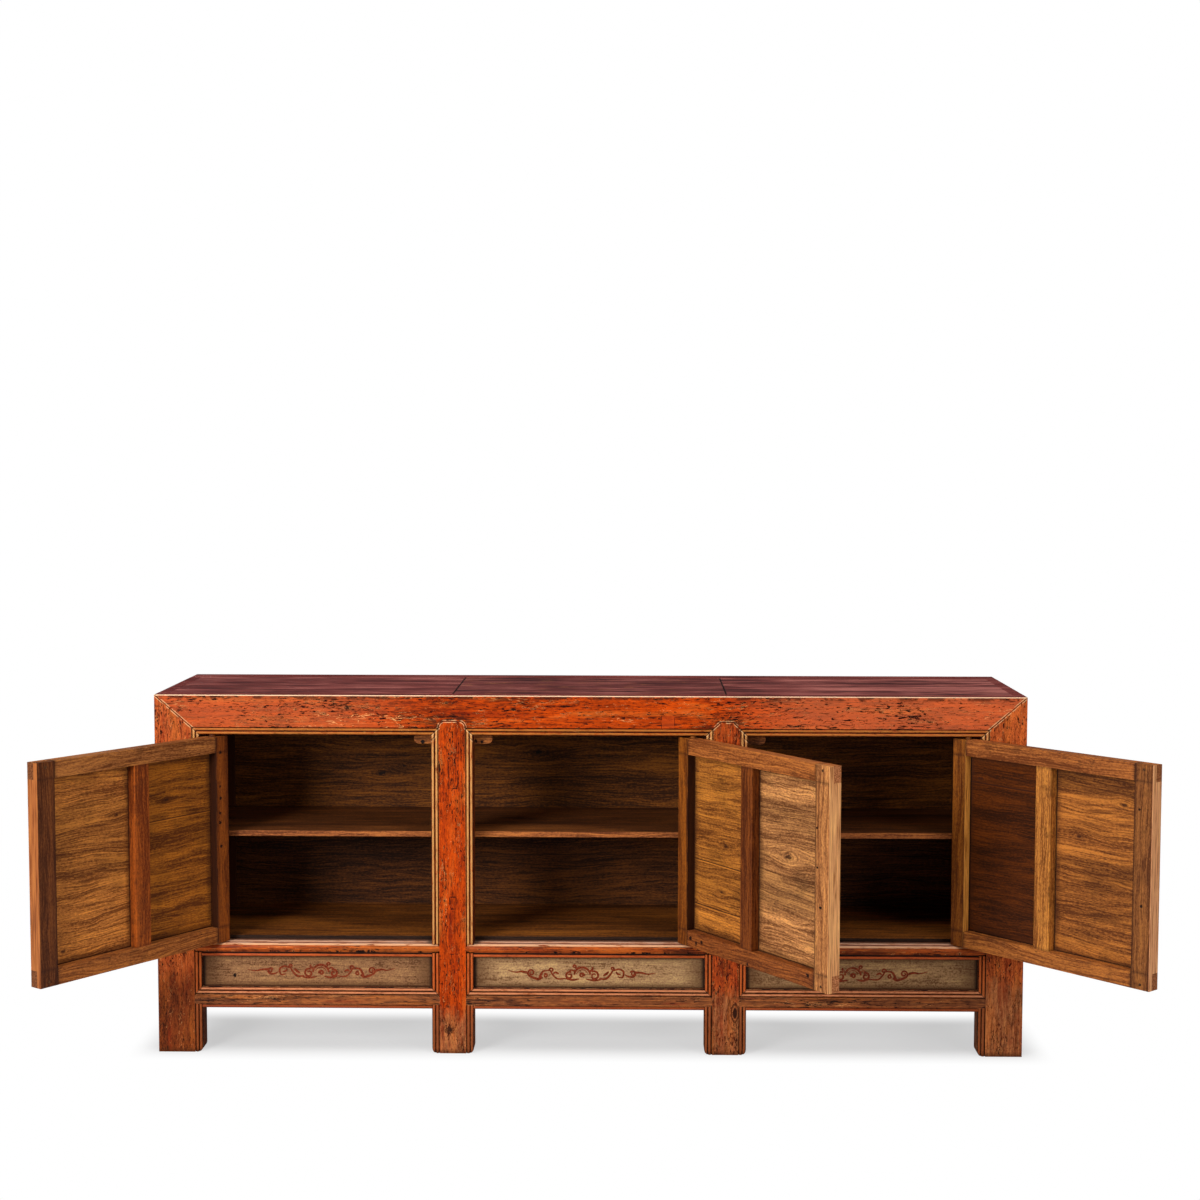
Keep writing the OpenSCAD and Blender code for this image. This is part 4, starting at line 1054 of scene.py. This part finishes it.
# Strokes of the scroll: points in mm from the middle of its arch, and width at start, middle and end
SCROLL = [
    (arc(0, 0, 20, 4, 176), 2, 3, 2),
    (arc(0, 0, 14, 20, 160), 0.8, 1.2, 0.8),
    (curl(1, 0, 6.5, 200, -1.3), 2, 2.4, 1.2),
    (curl(-30, -1, 12, 60, 1.25), 2, 3, 1.4),
    (curl(32, -1, 10, 120, -1.25), 2, 3, 1.4),
    (smooth((-46, -11), (-30, -13), (-10, -10)), 1, 3.4, 0.8),
    (smooth((8, -9), (24, -12), (42, -8)), 0.8, 3.6, 1),
    (smooth((-18, 9), (-26, 16), (-24, 21)), 2.4, 3, 0.8),
    (curl(20, 22, 5, 250, -1.1), 2, 2.2, 1),
    (smooth((17, 10), (27, 13), (33, 9)), 1.4, 2.4, 0.8),
    (smooth((-42, -8), (-58, -9), (-69, 1), (-76, 12)), 1.4, 3.2, 1.4),
    (curl(-75, 17, 5, 270, -1.1), 1.8, 2, 1),
    (smooth((-66, 10), (-60, 4), (-52, -1)), 1, 4.4, 0.8),
    (smooth((-78, 12), (-92, 16), (-103, 9), (-100, -5), (-88, -3)), 1.4, 3, 1),
    (smooth((-96, 2), (-88, 4), (-84, 10)), 0.8, 3.4, 0.8),
    (curl(-126, 5, 7, 20, 1.2), 1.8, 2.4, 1),
    (smooth((-106, 2), (-116, -3), (-128, -3), (-134, 4)), 0.8, 3.2, 1),
    (smooth((-130, 8), (-148, 7), (-164, 4), (-184, 7)), 2.6, 2, 0.5),
    (smooth((42, -8), (62, -9), (74, 2), (80, 12)), 1.2, 2.4, 1.4),
    (curl(77, 13, 6, 330, 1.1), 1.8, 2.2, 1),
    (smooth((58, 3), (66, 7), (72, 4)), 0.8, 3.8, 0.8),
    (smooth((84, 12), (97, 10), (104, 0), (107, -9)), 1.2, 3, 2.4),
    (curl(92, -1, 5.5, 60, 1.2), 1.6, 2.2, 1),
    (smooth((100, -4), (108, -10), (118, -8), (132, -2), (137, 6)), 2.6, 3.2, 1.6),
    (curl(127, 6, 8.5, 340, 1.3), 1.8, 2.2, 1),
    (smooth((138, 6), (152, 9), (166, 7), (186, 12)), 3, 1.8, 0.5),
]
# Width of the strokes against the numbers above
STROKE = 2.3
# Middle of each scroll's arch in X and Z, and 1 or -1 for the way round that it is drawn
SCROLL_PLACES = ((-670, 199, 1), (-17, 196, -1), (656, 198, 1))
# How far the first stroke stands out, how much more each next one, and how deep all are let in
STROKE_RISE, RISE_STEP, STROKE_SEAT = 0.15, 0.018, 0.2


def ribbon(bm, points, widths, rise, x0, z0, flip):
    """A thin closed band along points on the apron's face; rise is how far it stands out."""
    rings = []
    for i, (x, z) in enumerate(points):
        ax, az = points[max(0, i - 1)]
        bx, bz = points[min(len(points) - 1, i + 1)]
        long = hypot(bx - ax, bz - az) or 1
        t = i / (len(points) - 1)
        w = STROKE * (widths[0] * (1 - t) ** 2 + 2 * widths[1] * t * (1 - t) + widths[2] * t * t)
        nx, nz = -(bz - az) / long * w / 2, (bx - ax) / long * w / 2
        ring = []
        for sx, sz in ((x + nx, z + nz), (x - nx, z - nz)):
            for depth in (APRON_Y - rise, APRON_Y + STROKE_SEAT):
                corner = Vector((x0 + sx * flip - FRAME_X, depth - FRAME_Y, z0 + sz))
                ring.append(bm.verts.new(corner / MM))
        rings.append(ring)
    for a, b in zip(rings, rings[1:]):
        for i, j in ((0, 1), (1, 3), (3, 2), (2, 0)):
            bm.faces.new((a[i], a[j], b[j], b[i]))
    for end in (rings[0], rings[-1]):
        bm.faces.new((end[0], end[1], end[3], end[2]))


def scroll_material():
    g, x, y, z = case_material("scroll_paint")
    n = g.spots(x, y, 5, 5, level=z / 5)
    big = g.spots(x, y, 30, 30, level=z / 14)
    hue = g.mix(g.step(n, 0.4, 0.6), srgb(98, 34, 14), srgb(128, 50, 24))
    hue = g.mix(g.step(big, 0.6, 0.7) * 0.6, hue, srgb(150, 96, 62))
    return g.finish(hue, 0.6, n, 0.2)


def scrolls():
    m = scroll_material()
    for bay, place in zip(BAYS, SCROLL_PLACES):
        me = bpy.data.meshes.new(f"scroll_{bay}")
        bm = bmesh.new()
        for k, (points, *widths) in enumerate(SCROLL):
            ribbon(bm, points, widths, STROKE_RISE + RISE_STEP * k, *place)
        bmesh.ops.recalc_face_normals(bm, faces=bm.faces)
        bm.to_mesh(me)
        bm.free()
        me.materials.append(m)
        obj = placed(f"scroll_{bay}", me)
        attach(obj, "case")


WHITE = (1, 1, 1, 1)
# Half the floor's side, and the ring in which it fades out, in metres
FLOOR_HALF, FADE_FROM, FADE_TO = 7, 3.2, 4.6


def camera_sees(g):
    """1 for what the camera sees itself, 0 for what lights the object."""
    return g.node("LightPath", {})


def floor_material():
    """White to the camera, with a soft shadow under the case, and grey to the object."""
    g = material("floor_white")
    x, y, z = g.split(g.node("NewGeometry", {}, out=0))
    # In metres in the frame: the shadow shows between the end posts, and short of front and back
    under = g.step(abs(x + FRAME_X / MM), 1.16, 1.06) * g.step(y, -0.09, 0.05) * g.step(y, 0.37, 0.25)
    glow = g.node("Emission", {0: WHITE, 1: 1})
    half = g.node("Emission", {0: WHITE, 1: 0.53})
    grey = g.node("BsdfDiffuse", {0: (0.26, 0.26, 0.26, 1)})
    lit = g.node("AddShader", {0: grey, 1: half})
    seen = g.node("MixShader", {0: under, 1: glow, 2: lit})
    plain = g.node("BsdfDiffuse", {0: (0.62, 0.62, 0.62, 1)})
    shade = g.node("MixShader", {0: camera_sees(g), 1: plain, 2: seen})
    clear = g.node("BsdfTransparent", {})
    shade = g.node("MixShader", {0: g.step(g.far(x, y), FADE_FROM, FADE_TO), 1: shade, 2: clear})
    return g.surface(shade)


def floor():
    me = bpy.data.meshes.new("floor")
    bm = bmesh.new()
    bmesh.ops.create_grid(bm, x_segments=1, y_segments=1, size=FLOOR_HALF)
    bm.to_mesh(me)
    bm.free()
    me.materials.append(floor_material())
    obj = placed("floor", me)


def studio():
    """White to the camera, a low even light on the object."""
    world = bpy.data.worlds.new("studio")
    world.use_nodes = True
    g = Graph(world.node_tree)
    low = g.node("Background", {0: WHITE, 1: 0.13})
    high = g.node("Background", {0: WHITE, 1: 1})
    g.surface(g.node("MixShader", {0: camera_sees(g), 1: low, 2: high}), "OutputWorld")
    bpy.context.scene.world = world


# Name, place, aim and size in metres, power in watts, and whether it shows in reflections
SOFTBOXES = (
    ("overhead", (0, -0.8, 3.2), (0, 0, 0.5), (3.6, 2.4), 62, True),
    ("front_left", (-2.7, -3.4, 2), (0, 0, 0.5), (1.6, 1.6), 165, True),
    ("back_left", (-2.6, 3.6, 2), (0, 0.3, 0.5), (1.8, 1.8), 70, False),
    ("back_right", (2.8, 3.4, 1.8), (0, 0.3, 0.5), (1.8, 1.8), 50, False),
    ("front_right", (2.9, -3.2, 1.9), (0, 0, 0.5), (1.6, 1.6), 40, True),
)


def softbox(name, place, target, size, power, glossy):
    d = bpy.data.lights.new(name, "AREA")
    d.shape = "RECTANGLE"
    d.size, d.size_y = size
    d.energy = power
    o = placed(name, d)
    o.location = place
    o.rotation_euler = (Vector(target) - Vector(place)).to_track_quat("-Z", "Y").to_euler()
    o.visible_glossy = glossy


# The camera fitted to the photograph: place in mm of the case, turn left, tilt down and roll in degrees, and
# lens and sensor in mm
CAMERA = (103, -4682, 1459)
YAW, PITCH, ROLL = 0.94, 3.96, 0.08
LENS, SENSOR = 57.45, 36


def camera():
    d = bpy.data.cameras.new("photo_camera")
    d.sensor_width, d.lens = SENSOR, LENS
    turns = ((YAW, "Z"), (90 - PITCH, "X"), (ROLL, "Z"))
    yaw, pitch, roll = (Matrix.Rotation(radians(angle), 4, axis) for angle, axis in turns)
    place = (Vector(CAMERA) - Vector((FRAME_X, FRAME_Y, 0))) / MM
    o = placed("photo_camera", d)
    o.matrix_world = Matrix.Translation(place) @ yaw @ pitch @ roll
    bpy.context.scene.camera = o


materials = case_materials()
for k in range(len(BAYS)):
    materials.update(door_materials(k))
assert set(materials) == set(NODES), set(NODES) ^ set(materials)
for node, mat in materials.items():
    softened(node, mat)
scrolls()
floor()
studio()
for box in SOFTBOXES:
    softbox(*box)
camera()
bpy.context.scene.view_settings.view_transform = "Standard"
